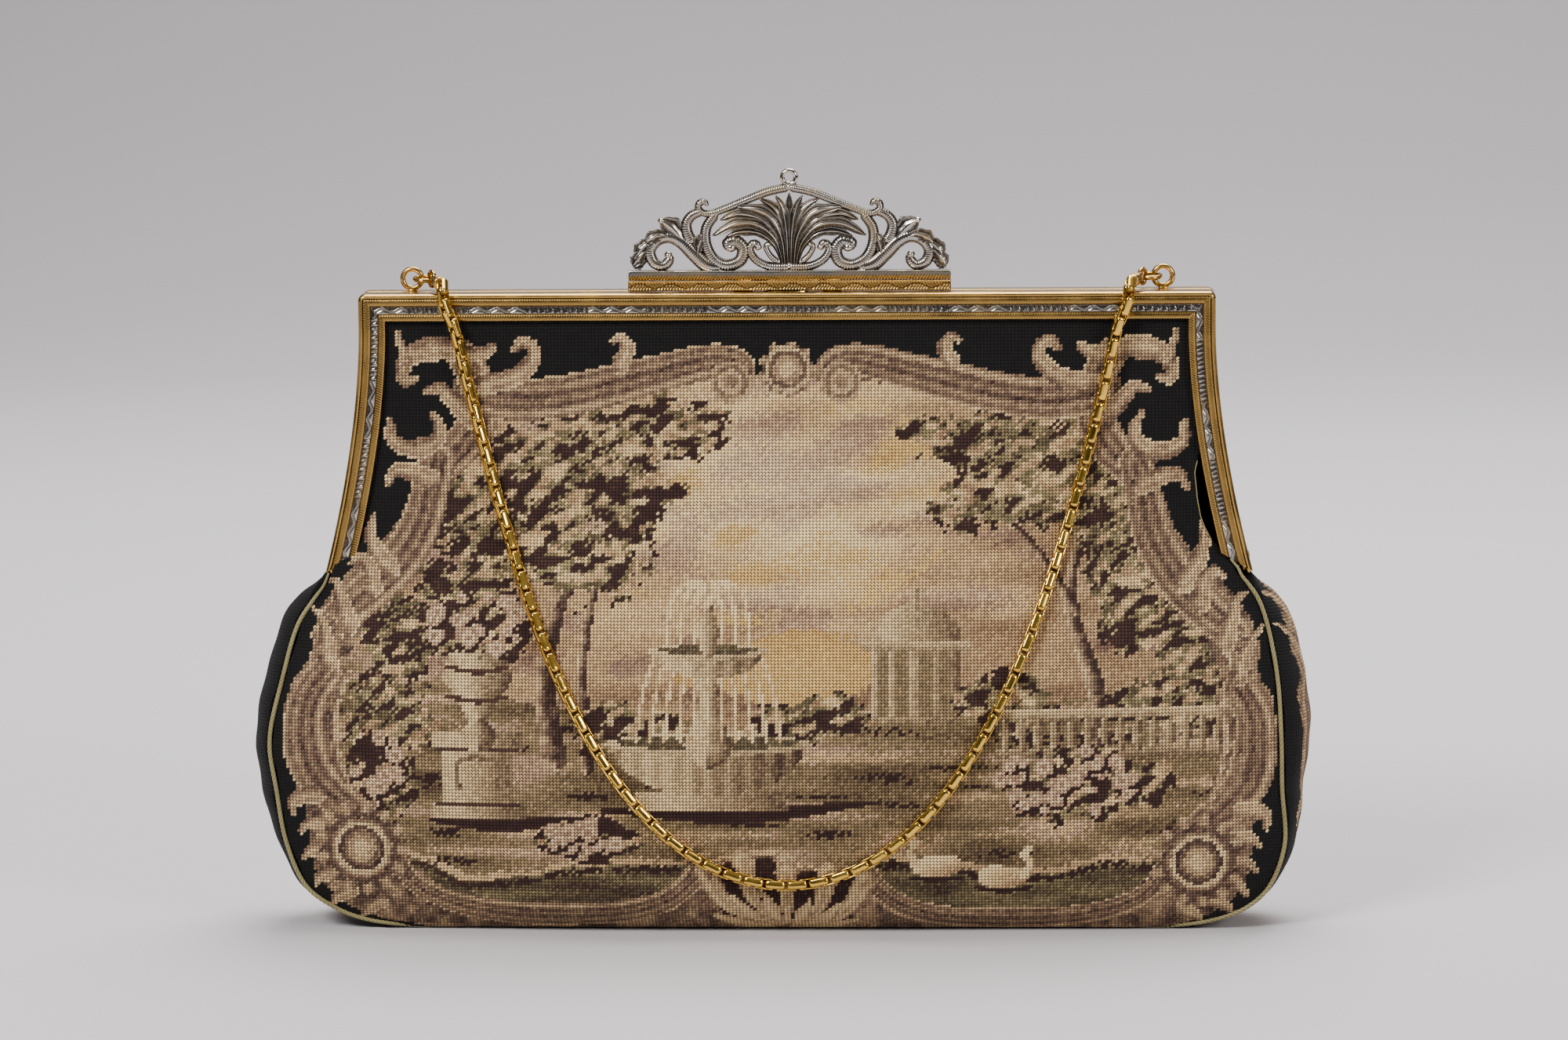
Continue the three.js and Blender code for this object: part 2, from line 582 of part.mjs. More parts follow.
// A rivet peened at both ends, lying along X through the two ears of one hinge.
function rivet(sign) {
  const inner = FRONT_EAR_X - GAP;
  const outer = BACK_EAR_X + EAR_THICKNESS + GAP;
  const dome = RIVET_HEAD_RADIUS * 0.7;
  const profile = [
    [0, inner - RIVET_HEAD_HEIGHT],
    [dome, inner - RIVET_HEAD_HEIGHT],
    [RIVET_HEAD_RADIUS, inner],
    [RIVET_RADIUS, inner],
    [RIVET_RADIUS, outer],
    [RIVET_HEAD_RADIUS, outer],
    [dome, outer + RIVET_HEAD_HEIGHT],
    [0, outer + RIVET_HEAD_HEIGHT],
  ].map(([radius, along]) => new THREE.Vector2(radius, along));
  const geometry = new THREE.LatheGeometry(profile, 12);
  geometry.rotateZ((-sign * Math.PI) / 2);
  geometry.translate(0, 0, HINGE_Z);
  return geometry;
}

// The front half of the frame, slotted on top for the clasp's tongue.
function frontFrame() {
  return geometryFrom(halfFrame(-1).subtract(box({ ...SLOT, bottom: FRAME_TOP - SLOT.drop })));
}

// The back half of the frame, with the clasp's two lugs and the chain's two eyelets soldered on top.
function backFrame() {
  let frame = halfFrame(1);
  for (const sign of [-1, 1]) {
    const lugX = sign * (PIN_HALF - LUG_LENGTH / 2);
    const sunk = 0.5;
    const post = box({
      width: LUG_LENGTH,
      depth: KNUCKLE_RADIUS * 1.6,
      height: CLASP_AXIS_Z - FRAME_TOP + sunk,
      x: lugX,
      y: CLASP_AXIS_Y,
      bottom: FRAME_TOP - sunk,
    });
    const eyelet = ring(RING_RADIUS, RING_WIRE);
    eyelet.rotateX(Math.PI / 2);
    eyelet.translate(sign * EYELET_X, EYELET_Y, EYELET_Z);
    const footZ = FRAME_TOP - EYELET_FOOT.sunk;
    const foot = box({ ...EYELET_FOOT, x: sign * EYELET_X, y: EYELET_Y, bottom: footZ });
    const lug = solidOf(claspBarrel(KNUCKLE_RADIUS, LUG_LENGTH, lugX)).add(post);
    frame = frame.add(lug).add(solidOf(eyelet).add(foot));
  }
  return geometryFrom(frame.subtract(solidOf(claspBarrel(PIN_RADIUS + PIN_GAP, 2 * PIN_HALF + 1, 0))));
}

// The clasp's lever: a bar across both halves, notched for the lugs, with its knuckle, neck and tongue.
function claspLever() {
  const notch = LUG_LENGTH + 2 * GAP;
  const notches = [-1, 1].map((sign) =>
    box({
      width: notch,
      depth: 2.2,
      height: LEVER_HEIGHT + 1,
      x: sign * (KNUCKLE_HALF + notch / 2),
      y: LEVER_DEPTH / 2,
      bottom: LEVER_FOOT - 0.5,
    }),
  );
  const lever = box({
    width: LEVER_LENGTH,
    depth: LEVER_DEPTH,
    height: LEVER_HEIGHT,
    y: 0,
    bottom: LEVER_FOOT,
  });
  const neck = box({
    width: 2 * KNUCKLE_HALF,
    depth: CLASP_AXIS_Y,
    height: NECK_HEIGHT,
    y: CLASP_AXIS_Y / 2,
    bottom: CLASP_AXIS_Z - 0.5,
  });
  const tongue = box({ ...TONGUE, height: TONGUE.drop + 0.5, bottom: LEVER_FOOT - TONGUE.drop });
  const knuckle = solidOf(claspBarrel(KNUCKLE_RADIUS, 2 * KNUCKLE_HALF, 0));
  const bore = solidOf(claspBarrel(PIN_RADIUS + PIN_GAP, 2 * PIN_HALF, 0));
  const notched = notches.reduce((left, cut) => left.subtract(cut), lever);
  return geometryFrom(notched.add(neck).add(tongue).add(knuckle).subtract(bore));
}

// The pierced crest: rail, scrolls, palmette, boss and finial ring, cast as one piece.
function crest() {
  const spot = (sign, [x, z]) => new THREE.Vector3(sign * x, 0, CREST_FOOT + z);
  const pieces = [];
  for (const sign of [-1, 1]) {
    for (const { from, to, path } of SCROLLS) {
      const curve = new THREE.CatmullRomCurve3(path.map((p) => spot(sign, p)), false, "centripetal");
      const steps = (path.length - 1) * 2;
      const halfWidth = (_, s) => THREE.MathUtils.lerp(from, to, s / steps) / 2;
      pieces.push(castBar(curve, Array.from({ length: steps + 1 }, halfWidth), SCROLL_DEPTH));
    }
    for (const { bend, tip, breadth } of LEAVES) {
      if (sign < 0 && tip[0] === 0) continue;
      const curve = new THREE.QuadraticBezierCurve3(...[PALMETTE_FOOT, bend, tip].map((p) => spot(sign, p)));
      pieces.push(castBar(curve, LEAF_BREADTHS.map((share) => (share * breadth) / 2), LEAF_DEPTH));
    }
  }
  const boss = new THREE.SphereGeometry(BOSS_RADIUS, 8, 4);
  boss.scale(1, SCROLL_DEPTH / (2 * BOSS_RADIUS), 1);
  boss.translate(0, 0, CREST_FOOT + PALMETTE_FOOT[1]);
  const finial = ring(FINIAL_RADIUS, FINIAL_WIRE);
  finial.rotateX(Math.PI / 2);
  finial.translate(0, 0, CREST_FOOT + FINIAL_Z);
  pieces.push(solidOf(boss), solidOf(finial));
  const rail = box({ width: LEVER_LENGTH, depth: RAIL_DEPTH, height: RAIL_HEIGHT, y: 0, bottom: RAIL_FOOT });
  return geometryFrom(pieces.reduce((cast, next) => cast.add(next), rail));
}

// The chain's end: a loop through the jump ring, and a cap that grips the last link. side is -1 or 1.
function chainEnd(side) {
  const upright = new THREE.Vector3(0, 0, 1);
  const level = CAP_END.clone().sub(END_LOOP).setZ(0).normalize();
  const loop = ring(END_LOOP_RADIUS, END_LOOP_WIRE);
  loop.applyMatrix4(new THREE.Matrix4().makeBasis(level, upright, level.clone().cross(upright)));
  loop.translate(...END_LOOP);
  const from = END_LOOP.clone().addScaledVector(level, END_LOOP_RADIUS * 0.8);
  const cap = tube(new THREE.LineCurve3(from, CAP_END), CAP_RADIUS, 8, 1);
  const geometry = geometryFrom(solidOf(loop).add(solidOf(cap)));
  return side < 0 ? mirrored(geometry) : geometry;
}

// A ring lying almost level, through the eyelet and the chain's end loop.
function jumpRing(side) {
  const geometry = ring(RING_RADIUS, JUMP_WIRE);
  geometry.rotateX(RING_TILT);
  geometry.translate(side * JUMP_X, JUMP_Y, EYELET_Z);
  return geometry;
}

// The chain hangs in a catenary, over the frame's front edge and down the front cloth.
function chainPath() {
  const clear = CHAIN_RADIUS + GAP;
  const reach = CHAIN_RESTING * CATENARY * Math.sinh(CHAIN_SPAN_HALF / CATENARY);
  const hang = Array.from({ length: HANG_POINTS }, (_, i) => {
    const along = ((i / (HANG_POINTS - 1)) * 2 - 1) * reach;
    const x = CATENARY * Math.asinh(along / CATENARY);
    const z = CHAIN_LOW + CATENARY * (Math.cosh(x / CATENARY) - 1);
    const cloth = frontDepth(x, levelAtHeight(z));
    return new THREE.Vector3(x, -Math.max(cloth, FACE_DEPTH) - clear, z);
  });
  const heading = CAP_END.clone().sub(END_LOOP).normalize();
  const over = (sign) =>
    [
      CAP_END.clone().addScaledVector(heading, GAP + 0.05),
      CAP_END.clone().addScaledVector(heading, 1),
      new THREE.Vector3(CHAIN_SPAN_HALF + 0.2, -FACE_DEPTH - clear, FRAME_TOP + 0.7),
      new THREE.Vector3(CHAIN_SPAN_HALF - 0.2, -FACE_DEPTH - clear - GAP, FRAME_TOP - 2.2),
    ].map((p) => new THREE.Vector3(sign * p.x, p.y, p.z));
  return new THREE.CatmullRomCurve3([...over(-1), ...hang, ...over(1).reverse()], false, "centripetal");
}

function piece(name, geometry, finish) {
  const mesh = new THREE.Mesh(geometry, new THREE.MeshStandardMaterial(finish));
  mesh.name = name;
  return mesh;
}

const pouch = new THREE.Group();
pouch.add(
  piece("front_panel", frontPanel(), PETIT_POINT),
  piece("back_panel", backPanel(), PETIT_POINT),
  piece("piping", tube(pipingPath(), PIPING_RADIUS, 6, PIPING_STEPS), PIPING_CORD),
);
const frame = new THREE.Group();
frame.add(
  piece("front_frame", frontFrame(), GILT),
  piece("back_frame", backFrame(), GILT),
  piece("hinge_rivet_left", rivet(-1), GILT),
  piece("hinge_rivet_right", rivet(1), GILT),
);
const clasp = new THREE.Group();
clasp.add(
  piece("clasp_pin", claspBarrel(PIN_RADIUS, 2 * PIN_HALF, 0), GILT),
  piece("clasp_lever", claspLever(), GILT),
  piece("crest", crest(), SILVER),
);
const handle = new THREE.Group();
handle.add(
  piece("jump_ring_left", jumpRing(-1), GILT),
  piece("jump_ring_right", jumpRing(1), GILT),
  piece("chain_end_left", chainEnd(-1), GILT),
  piece("chain_end_right", chainEnd(1), GILT),
  piece("chain", tube(chainPath(), CHAIN_RADIUS, 8, CHAIN_STEPS), BRIGHT_GILT),
);
const bag = new THREE.Group();
bag.add(pouch, frame, clasp, handle);

export default bag;
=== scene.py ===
"""Evening bag in petit point: stitched panels, piping, chased frame, lever clasp, crest and chain.

Lengths in the tables and functions are millimetres in the frame's own axes, X to the right, Y to the
back and Z up from the base. Meshes are made in metres.
"""
import math

import bmesh
import bpy
import numpy as np
from mathutils import Matrix, Vector


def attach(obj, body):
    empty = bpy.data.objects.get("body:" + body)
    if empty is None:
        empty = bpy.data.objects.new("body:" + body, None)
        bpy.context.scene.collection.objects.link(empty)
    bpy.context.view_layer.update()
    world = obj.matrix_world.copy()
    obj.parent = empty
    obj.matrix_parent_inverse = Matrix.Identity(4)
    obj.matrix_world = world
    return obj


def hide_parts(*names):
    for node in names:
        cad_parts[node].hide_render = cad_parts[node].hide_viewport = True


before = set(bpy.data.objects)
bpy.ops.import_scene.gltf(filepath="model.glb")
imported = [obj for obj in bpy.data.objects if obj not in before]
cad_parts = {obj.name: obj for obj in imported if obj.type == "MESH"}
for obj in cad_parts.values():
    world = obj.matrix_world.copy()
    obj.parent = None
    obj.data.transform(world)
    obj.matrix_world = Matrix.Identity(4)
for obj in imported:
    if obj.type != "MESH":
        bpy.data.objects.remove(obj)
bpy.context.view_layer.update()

bl_info = {
    "name": "Petit Point Evening Bag",
    "version": (1, 0, 0),
    "blender": (4, 5, 0),
    "location": "View3D > Sidebar > Evening Bag",
    "description": "Dresses the bag's solids with stitched cloth, chased metal and a linked chain",
    "category": "Add Mesh",
}

MM = 0.001
TURN = 2 * math.pi
BAG = "bag"
CLASP = "clasp"
SIDES = ((-1, "left"), (1, "right"))
UPRIGHT = ((1, 0, 0), (0, 0, 1))

# Frame: a banded channel that runs straight along the top and flares down to the hinges
FRAME_TOP = 133
FRAME_HALF_WIDTH = 89.2
FRAME_FOOT = 78
FLARE_TOP = 125
FLARE = 6.9
FLARE_POWER = 1.7
FACE_WIDTH = 5.7
FACE_DEPTH = 6.1
CORNER_START = 4.2
CORNER_STEPS = 8
HINGE_Z = 74.6
EAR_RADIUS = 2.4
EAR_THICKNESS = 1
EAR_ROOT = 4.8
EAR_HEAD = FRAME_FOOT - 0.6
EAR_SHOULDER = 0.6
EAR_STEP = 1
EAR_ARC = (math.pi - 0.25, TURN - 0.7, 20)
FRONT_EAR_X = 94.3
BACK_EAR_X = 95.5
RIVET_RADIUS = 0.8
RIVET_HEAD = 0.25
BARREL_BEVEL = 0.15
FOOT_DROP = 3.6
FOOT_RISE = 0.4

# The face of a half-frame from its inner edge outwards: out and front place a line of the section,
# reed is how much of the milled ridge it takes, and silver marks the chased strip.
STRIP_START = 1.58
STRIP_END = 3.02
STRIP_FRONT = 5.7
STRIP_LINES = 13
GROOVES = (1.42, 1.58, 3.02, 3.18, 4.62, 4.72)
FACE_ROWS = (
    (0, 5, 0, 0), (0, 5.74, 0, 0), (0.12, 5.98, 0.3, 0), (0.4, 6.09, 1, 0), (0.72, 6.12, 1, 0),
    (1.04, 6.08, 1, 0), (1.28, 5.98, 0.3, 0), (1.42, 5.58, 0, 0),
    *((out, STRIP_FRONT, 0, 1) for out in np.linspace(STRIP_START, STRIP_END, STRIP_LINES)),
    (3.18, 5.58, 0, 0), (3.3, 5.96, 0.3, 0), (3.56, 6.08, 1, 0), (3.9, 6.12, 1, 0), (4.24, 6.08, 1, 0),
    (4.5, 5.98, 0.3, 0), (4.62, 5.56, 0, 0), (4.72, 5.58, 0, 0), (4.9, 5.92, 0, 0), (5.2, 5.9, 0, 0),
    (5.44, 5.66, 0, 0), (5.6, 5.36, 0, 0), (5.7, 5, 0, 0), (5.7, 4.1, 0, 0), (5.7, 1.4, 0, 0),
    (5.7, 0.15, 0, 0), (4.8, 0.15, 0, 0), (4.8, 1.4, 0, 0), (4.8, 4.1, 0, 0), (4.8, 4.6, 0, 0),
    (4.4, 5, 0, 0),
)
SLOT_HALF = 4.5
SLOT_FRONT = (1.4, 4.1)
REED_HEIGHT = 0.176
REED_SLANT = 0.55
REED_MIDDLE = 2.3
CHASING_PERIOD = 25
CHASING_WAVES = 12
WAVE_PERIOD = 4
WAVE_MIDDLE = 0.55
WAVE_SWING = 0.26
FACET_PERIOD = 0.95
CHASING_HEIGHT = 0.16

# Cloth: wall, seam, and how the panels swell
WALL = 1.5
SEAM_LIP = 0.45
SEAM_GAP = 1
SEAM_WAVES = ((0.24, 23, 0.4), (0.12, 9.5, 1.9))
SEAM_WAVE_STOPS = (2, 10, 56, 68)
SEAM_WAVE_STARTS = {"left": 0, "right": 2.1}
CROWN_POWER = 2.6
CROWN_SOFTNESS = 0.8
BACK_POWER = 3.2
BACK_SOFTNESS = 0.36
BACK_WRAP = 4
PANEL_TOP = 129.5
BASE_ROUNDING = 8
BASE_EDGE = 0.15
BASE_TUCK = 3.6
TUCK_SHARE = 0.8
BASE_CURL_STEPS = 10
BASE_CLEAR = 0.25
ROW_SAMPLES = 120
LEVEL_SAMPLES = 20
UNDER_SAMPLES = 6 * LEVEL_SAMPLES
HALVINGS = 40
LINING_STEP = 8
INWARD_CORNERS = (0, 3, 2, 1)

# Each row is one level of the pouch from the base to the mouth: its height, where the seam or the
# panel's edge stands to the left and right, how far forward that edge and the front's middle lie, how
# far the back swells past the left seam and behind, where the back's own edge lies, the flat margin, and
# how far the back swells past the right seam.
LEVEL_COLUMNS = ("z", "left", "right", "edge", "crown", "wide", "back", "rim", "tuck", "wide_right")
LEVELS = np.array([
    (1.3, 85, 84.4, 12, 14, 1.5, 14, -12, 1, 1.4),
    (3.5, 92.8, 93, 12.5, 17.5, 3, 17, -12.5, 1, 2),
    (9, 100.8, 100.2, 12.8, 20.6, 3, 20, -12.8, 1, 2.4),
    (18, 105, 103, 13, 22.6, 3.6, 22, -13, 1, 3.2),
    (30, 106.8, 103, 13, 23.6, 4.8, 23, -13, 1, 5.2),
    (40, 108.5, 102.4, 12.6, 23.5, 4.4, 23, -12.6, 1, 6.7),
    (53, 105.4, 101.8, 11.1, 22.1, 4.8, 21.6, -11.1, 1, 6.5),
    (64, 102.4, 99.5, 8.6, 19.4, 4.6, 18.6, -8.6, 1, 5.8),
    (69, 99.2, 97.8, 7.2, 18, 4.2, 17, -7.2, 1.2, 4.4),
    (72, 97, 95.8, 7, 17, 2.4, 16, -5.8, 1.2, 2.6),
    (75.5, 95.6, 93.5, 6.4, 15.8, 0.4, 14.8, 0.4, 1.2, 2.1),
    (79.5, 94.4, 94.4, 4.8, 14.4, 0, 13.4, 4.7, 2.6, 0),
    (87, 91, 91, 4.7, 12, 0, 11.2, 4.7, 2.6, 0),
    (100, 87.6, 87.6, 4.7, 8.6, 0, 8.2, 4.7, 2.4, 0),
    (114, 86, 86, 4.7, 6, 0, 5.8, 4.7, 2.6, 0),
    (125, 85.6, 85.6, 4.7, 4.9, 0, 4.9, 4.7, 2.6, 0),
    (PANEL_TOP, 85.6, 85.6, 4.7, 4.7, 0, 4.7, 4.7, 2.6, 0),
])

# The right edge of the front cloth above the hinge, where it leaves the frame and a slit stands open
SLIT_HEIGHTS = (70, 76, 78, 80, 81.1, 83.9, 85.7, 89.4, 95.4, 98, 104, 112)
SLIT_EDGES = (110, 93, 91.3, 90, 88.7, 87.3, 86.6, 85.9, 85.3, 86, 87.6, 99)
HEM_SPAN = (81, 97.6)
HEM_POINTS = 14
HEM_RADIUS = 0.11

# Soft pulls in the front cloth: where each ridge starts and ends, its width, and how far it stands out
FOLDS = (
    (-86, 72, -58, 92, 5, 1.1), (-92, 64, -62, 78, 4.5, -0.9), (-94, 56, -66, 64, 5, 0.8),
    (84, 74, 68, 102, 4, 1), (88, 66, 72, 84, 4, -0.8), (92, 52, 70, 66, 5, 0.7),
    (-60, 6, -20, 9, 4, 0.7), (16, 8, 62, 5, 4, -0.7),
)

# Piping: a twisted cord in the seam
PIPING_RADIUS = 0.46
PIPING_PROUD = 0.22
PIPING_LEAN = 0.4
PIPING_TURN = 1.5
PIPING_STEPS = 24
PIPING_HEADS = {-1: (9.75, 9), 1: (10.45, 10, 9.5, 9)}
PIPING_STOPS = (8, 7, 6, 5, 4, 3, 2, 1.3, 0.6)
PIPING_BASE_SHARES = (-0.94, -0.8, -0.5, 0, 0.5, 0.8, 0.94)
PIPING_STEP = 0.26
PIPING_SIDES = 12
PIPING_LAY = 3
PIPING_STRANDS = 3
PIPING_GROOVE = 0.2
PIPING_TAPER = ((0, 8), (0.5, 1))

# Clasp: a lever across the top that turns on a pin behind, with a tongue into the front half. A face holds
# the heights of its lines as shares, a wave its swing, period and line, and the knuckle's web where it
# starts and its low and high sides from the pin.
BAR_BEVEL = 0.2
LEVER_LENGTH = 67.2
CREST_SHIFT = 0.7
LEVER_HEIGHT = 2
LEVER_DEPTH = 6.4
LEVER_FOOT = FRAME_TOP + 0.25
LEVER_NOTCH = (7, 11.6)
LEVER_NOTCH_Y = 2.1
LEVER_STEP = 0.155
LEVER_CUT = 0.62
LEVER_RELIEF = 0.12
LEVER_LIP = 0.25
LEVER_FRAMED = (0.1, 0.9)
LEVER_FACE = np.array([0.02, 0.1, 0.22, 0.34, 0.46, 0.58, 0.7, 0.82, 0.92, 0.98])
LEVER_WAVE = (0.26, 6.4, 0.06)
LEVER_SLANT = 0.7
KNUCKLE_RADIUS = 1.25
KNUCKLE_HALF = 7
KNUCKLE_WEB = (1, -0.4, 0.85)
WEB_BEVEL = 0.1
LUG_LENGTH = 4
LUG_HALF_DEPTH = 1
LUG_SINK = 0.5
FITTING_BEVEL = 0.2
PIN_HALF = KNUCKLE_HALF + 0.3 + LUG_LENGTH
CLASP_AXIS_Y = 4.6
CLASP_AXIS_Z = FRAME_TOP + KNUCKLE_RADIUS + 0.2
TONGUE_HALF = 4
TONGUE_Y = (-2.8, -2)
TONGUE_DROP = 2
TONGUE_ROOT = 0.5
TONGUE_BEVEL = 0.15

# Crest: cast on a rail that stands on the lever
RAIL_HEIGHT = 1.9
RAIL_DEPTH = 3.4
RAIL_TICKS = 0.5
RAIL_FACE = np.array([0.05, 0.2, 0.34, 0.48, 0.58, 0.66, 0.8, 0.95])
RAIL_GROOVE = 0.6
RAIL_FOOT = LEVER_FOOT + LEVER_HEIGHT + 0.1
CREST_FOOT = RAIL_FOOT + RAIL_HEIGHT
SCROLL_DEPTH = 2
SCROLL_SPREAD = 1.06
LEAF_DEPTH = 1.7
CREST_RISE = 0.96
CREST_STEPS = 16
BOSS_RADIUS = 0.9
BOSS_Z = 1
KNOB_SIDES = 16
KNOB_RINGS = (0.12, math.pi - 0.12, 9)
KNOB_DEPTH = 1.1
FINIAL_Z = 20.1
FINIAL_RADIUS = 1.4
FINIAL_WIRE = 0.52
FINIAL_NECK = ((17.6, 0.9), (18.6, 0.75), (FINIAL_Z - FINIAL_RADIUS, 0.5))
MILL_PITCH = 0.5
MILL_HEIGHT = 0.07
MILL_LEVEL = 0.6
SCROLL_START = (0.55, 12)
SCROLL_TIP = (0.45, 9)
SCROLL_STEP = 0.125
SCROLL_SIDES = 10

# The crest's scrolls on its right half, above the rail: the bar's thickness at its start and end, how
# strongly it is milled across, and its middle line.
SCROLLS = (
    (1.9, 1.4, 1, ((0, 18), (4.4, 17), (9.4, 15), (13.5, 13.3), (16, 12.4), (17.8, 12.4), (18.9, 13.4),
                   (18.7, 14.6), (17.6, 14.9), (17, 14))),
    (2, 2.8, 1, ((15.2, 12.4), (17.3, 9.2), (17.4, 5.6), (15.8, 2.4), (13, 1.1), (10.3, 2.1), (9.7, 4.6),
                 (11.2, 6.3), (12.8, 5.7), (12.5, 4.4))),
    (1.9, 1.6, 1, ((0, 0.7), (4.4, 0.9), (7.2, 2.4), (8.3, 4.6), (7.4, 5.9), (6.1, 5))),
    (1.3, 1.1, 0.6, ((2.6, 1.8), (4.2, 3.4), (4.9, 5.2), (4.1, 5.9))),
    (1.9, 2.5, 0.8, ((18.4, 12.8), (20.4, 11.8), (21.5, 10), (21.2, 7.8), (20.2, 6))),
    (3.4, 2, 0.5, ((14.6, 0.5), (17.4, 1.3), (20, 3.6), (22.6, 6.2), (25, 7.3), (27.6, 6.6), (29.2, 4.2),
                   (28.3, 1.7), (26.2, 1.1), (25, 2.6), (25.4, 3.6))),
)
KNOBS = ((12.2, 4.9, 1.1), (6.5, 5, 0.8), (25.3, 3.3, 0.9), (4.3, 5.6, 0.6), (26.7, 10.7, 0.8))

# Veined leaves: breadth, how far the tip curls forward, and the middle line from foot to tip
ACANTHUS = (
    (4.6, 0.7, ((20.6, 4.2), (22.8, 7.4), (24.8, 9.6), (26.9, 11))),
    (3, 0.6, ((24, 6.8), (26.4, 7.7), (28.4, 7.3), (30, 6))),
    (3.2, 0.5, ((27, 6.6), (29.4, 6), (31, 4.7), (32, 3.2))),
    (3, 0.4, ((29, 4.8), (30.8, 3.6), (31.9, 2.2), (32.7, 1))),
    (2.2, 0.3, ((29.6, 2.4), (31.2, 1.5), (32.6, 0.6))),
    (2.6, 0.3, ((19.2, 3), (18.9, 5.6), (18.3, 8))),
)
PALMETTE = (
    (2, 0.2, ((0, 1), (0, 9), (0, 16.8))),
    (2, 0.3, ((0.3, 1), (0.6, 9), (1.3, 13.4), (2.8, 16.3))),
    (2.5, 0.4, ((0.6, 1), (1.2, 8.5), (2.8, 13.2), (6.2, 15.6))),
    (2.8, 0.5, ((0.9, 1), (1.8, 7.8), (4.8, 12.4), (10.8, 13.9))),
    (2.9, 0.6, ((1.1, 1), (2.3, 7), (5.8, 11.1), (10.4, 12.3), (14.4, 11))),
    (2.7, 0.6, ((1.3, 1), (2.7, 6.3), (6.2, 9.8), (11, 10.2), (16, 7.6))),
    (1.9, 0.5, ((1.5, 1), (3, 5.2), (6, 8), (10, 8.4), (13.2, 7.4))),
)
LEAF_SHARES = (0.2, 0.34, 0.5, 0.68, 0.86, 1, 1, 0.74, 0.1)
LEAF_LOBES = (0.09, 9, 0.35)
LEAF_STEP = 0.1
LEAF_STEPS = 30
LEAF_ACROSS = 13
LEAF_VEINS = 2
VEIN_DEPTH = 0.4
LEAF_LAYER = 0.42

# Rings and chain: eyelet, jump ring, end loop with its cap, and the hanging chain. An eyelet's foot is its
# half-width, half-depth and low and high ends, and the chain's bend is how far each place lies aside,
# forward and up, both from the frame's top.
EYELET_X = 78.4
EYELET_Y = 1.1
EYELET_FOOT = (0.9, 0.5, -0.3, 0.6)
RING_RADIUS = 2
RING_WIRE = 0.56
RING_TILT = 0.12
JUMP_WIRE = 0.5
JUMP_X = EYELET_X - RING_RADIUS - 0.6
JUMP_Y = EYELET_Y - 0.5
EYELET_Z = FRAME_TOP + RING_RADIUS + RING_WIRE + 0.1
END_LOOP_RADIUS = 1.5
END_LOOP_WIRE = 0.46
CHAIN_RADIUS = 1.2
CHAIN_GAP = 0.3
CHAIN_BEND = ((0.2, 0, 0.7), (-0.2, CHAIN_GAP, -2.2))
CHAIN_SPAN_HALF = 71
CHAIN_LOW = 11.3
CHAIN_RESTING = 0.93
CATENARY = 30.8
HANG_POINTS = 33
HANG_STEPS = 12
END_LOOP = np.array([74.1, -0.9, EYELET_Z + 0.1])
CAP_END = np.array([CHAIN_SPAN_HALF + 0.9, -5.2, FRAME_TOP + 2.1])
CAP_SIDES = 20
CAP_START = 0.8

# The crimped cap from its loop to the chain: how far along, its radius, and how dark it lies, partly tarnish
# and partly painted shade in the crimp and at its mouth
CAP_PROFILE = (
    (0, 0.7, 0), (0.12, 0.95, 0), (0.36, 1.2, 0), (0.55, 1.32, 0), (0.62, 1.15, 0.9), (0.7, 1.38, 0),
    (0.94, 1.42, 0), (1, 1.25, 0.2),
)
LINK_LEAD = 1.6
CHAIN_STEP = 0.4
LINK_CORNER = 0.4
LINK_POINTS = 34
LINK_TAPER = 0.5
LINK_NECK = 0.7
LINK_SHADE = 0.3
LINK_DARK = 0.95
CORNER_POINTS = 3
STRIP_SIDES = 10
LINK_SIZES = {
    "Link width": "link_width", "Link length": "link_length", "Strip width": "strip_width",
    "Strip thickness": "strip_thickness", "Spacing": "spacing", "Turn": "turn", "Twist": "twist",
}

# Thread ramps from dark to light, as display colours
ORNAMENT = ((60, 44, 43), (92, 75, 69), (126, 106, 92), (160, 138, 115), (194, 171, 139), (224, 203, 166))
FOLIAGE = ((60, 43, 42), (80, 71, 58), (106, 98, 77), (136, 126, 98), (170, 157, 122), (204, 189, 150))
SKY = ((128, 104, 84), (160, 134, 107), (188, 161, 127), (212, 186, 147), (231, 208, 166), (242, 223, 183))
MEADOW = ((70, 53, 49), (92, 78, 62), (117, 103, 81), (143, 126, 99), (172, 151, 120), (202, 182, 147))
STONE = ((66, 50, 47), (96, 81, 68), (130, 113, 92), (164, 145, 117), (196, 176, 142), (224, 204, 167))
OCHRE = ((110, 82, 52), (146, 114, 70), (174, 140, 86), (196, 163, 104), (212, 182, 124), (226, 201, 148))
ROSE = ((78, 58, 55), (110, 87, 79), (140, 115, 102), (168, 142, 123), (196, 171, 147), (220, 199, 172))
SHADE = ((48, 31, 32), (58, 40, 40), (76, 56, 52))
THREAD_TINT = (1.0, 0.88, 0.7)
THREAD_STEPS = 9
THREAD_JITTER = 0.07
RAGGED = 0.22
STROKE_STEPS = 8

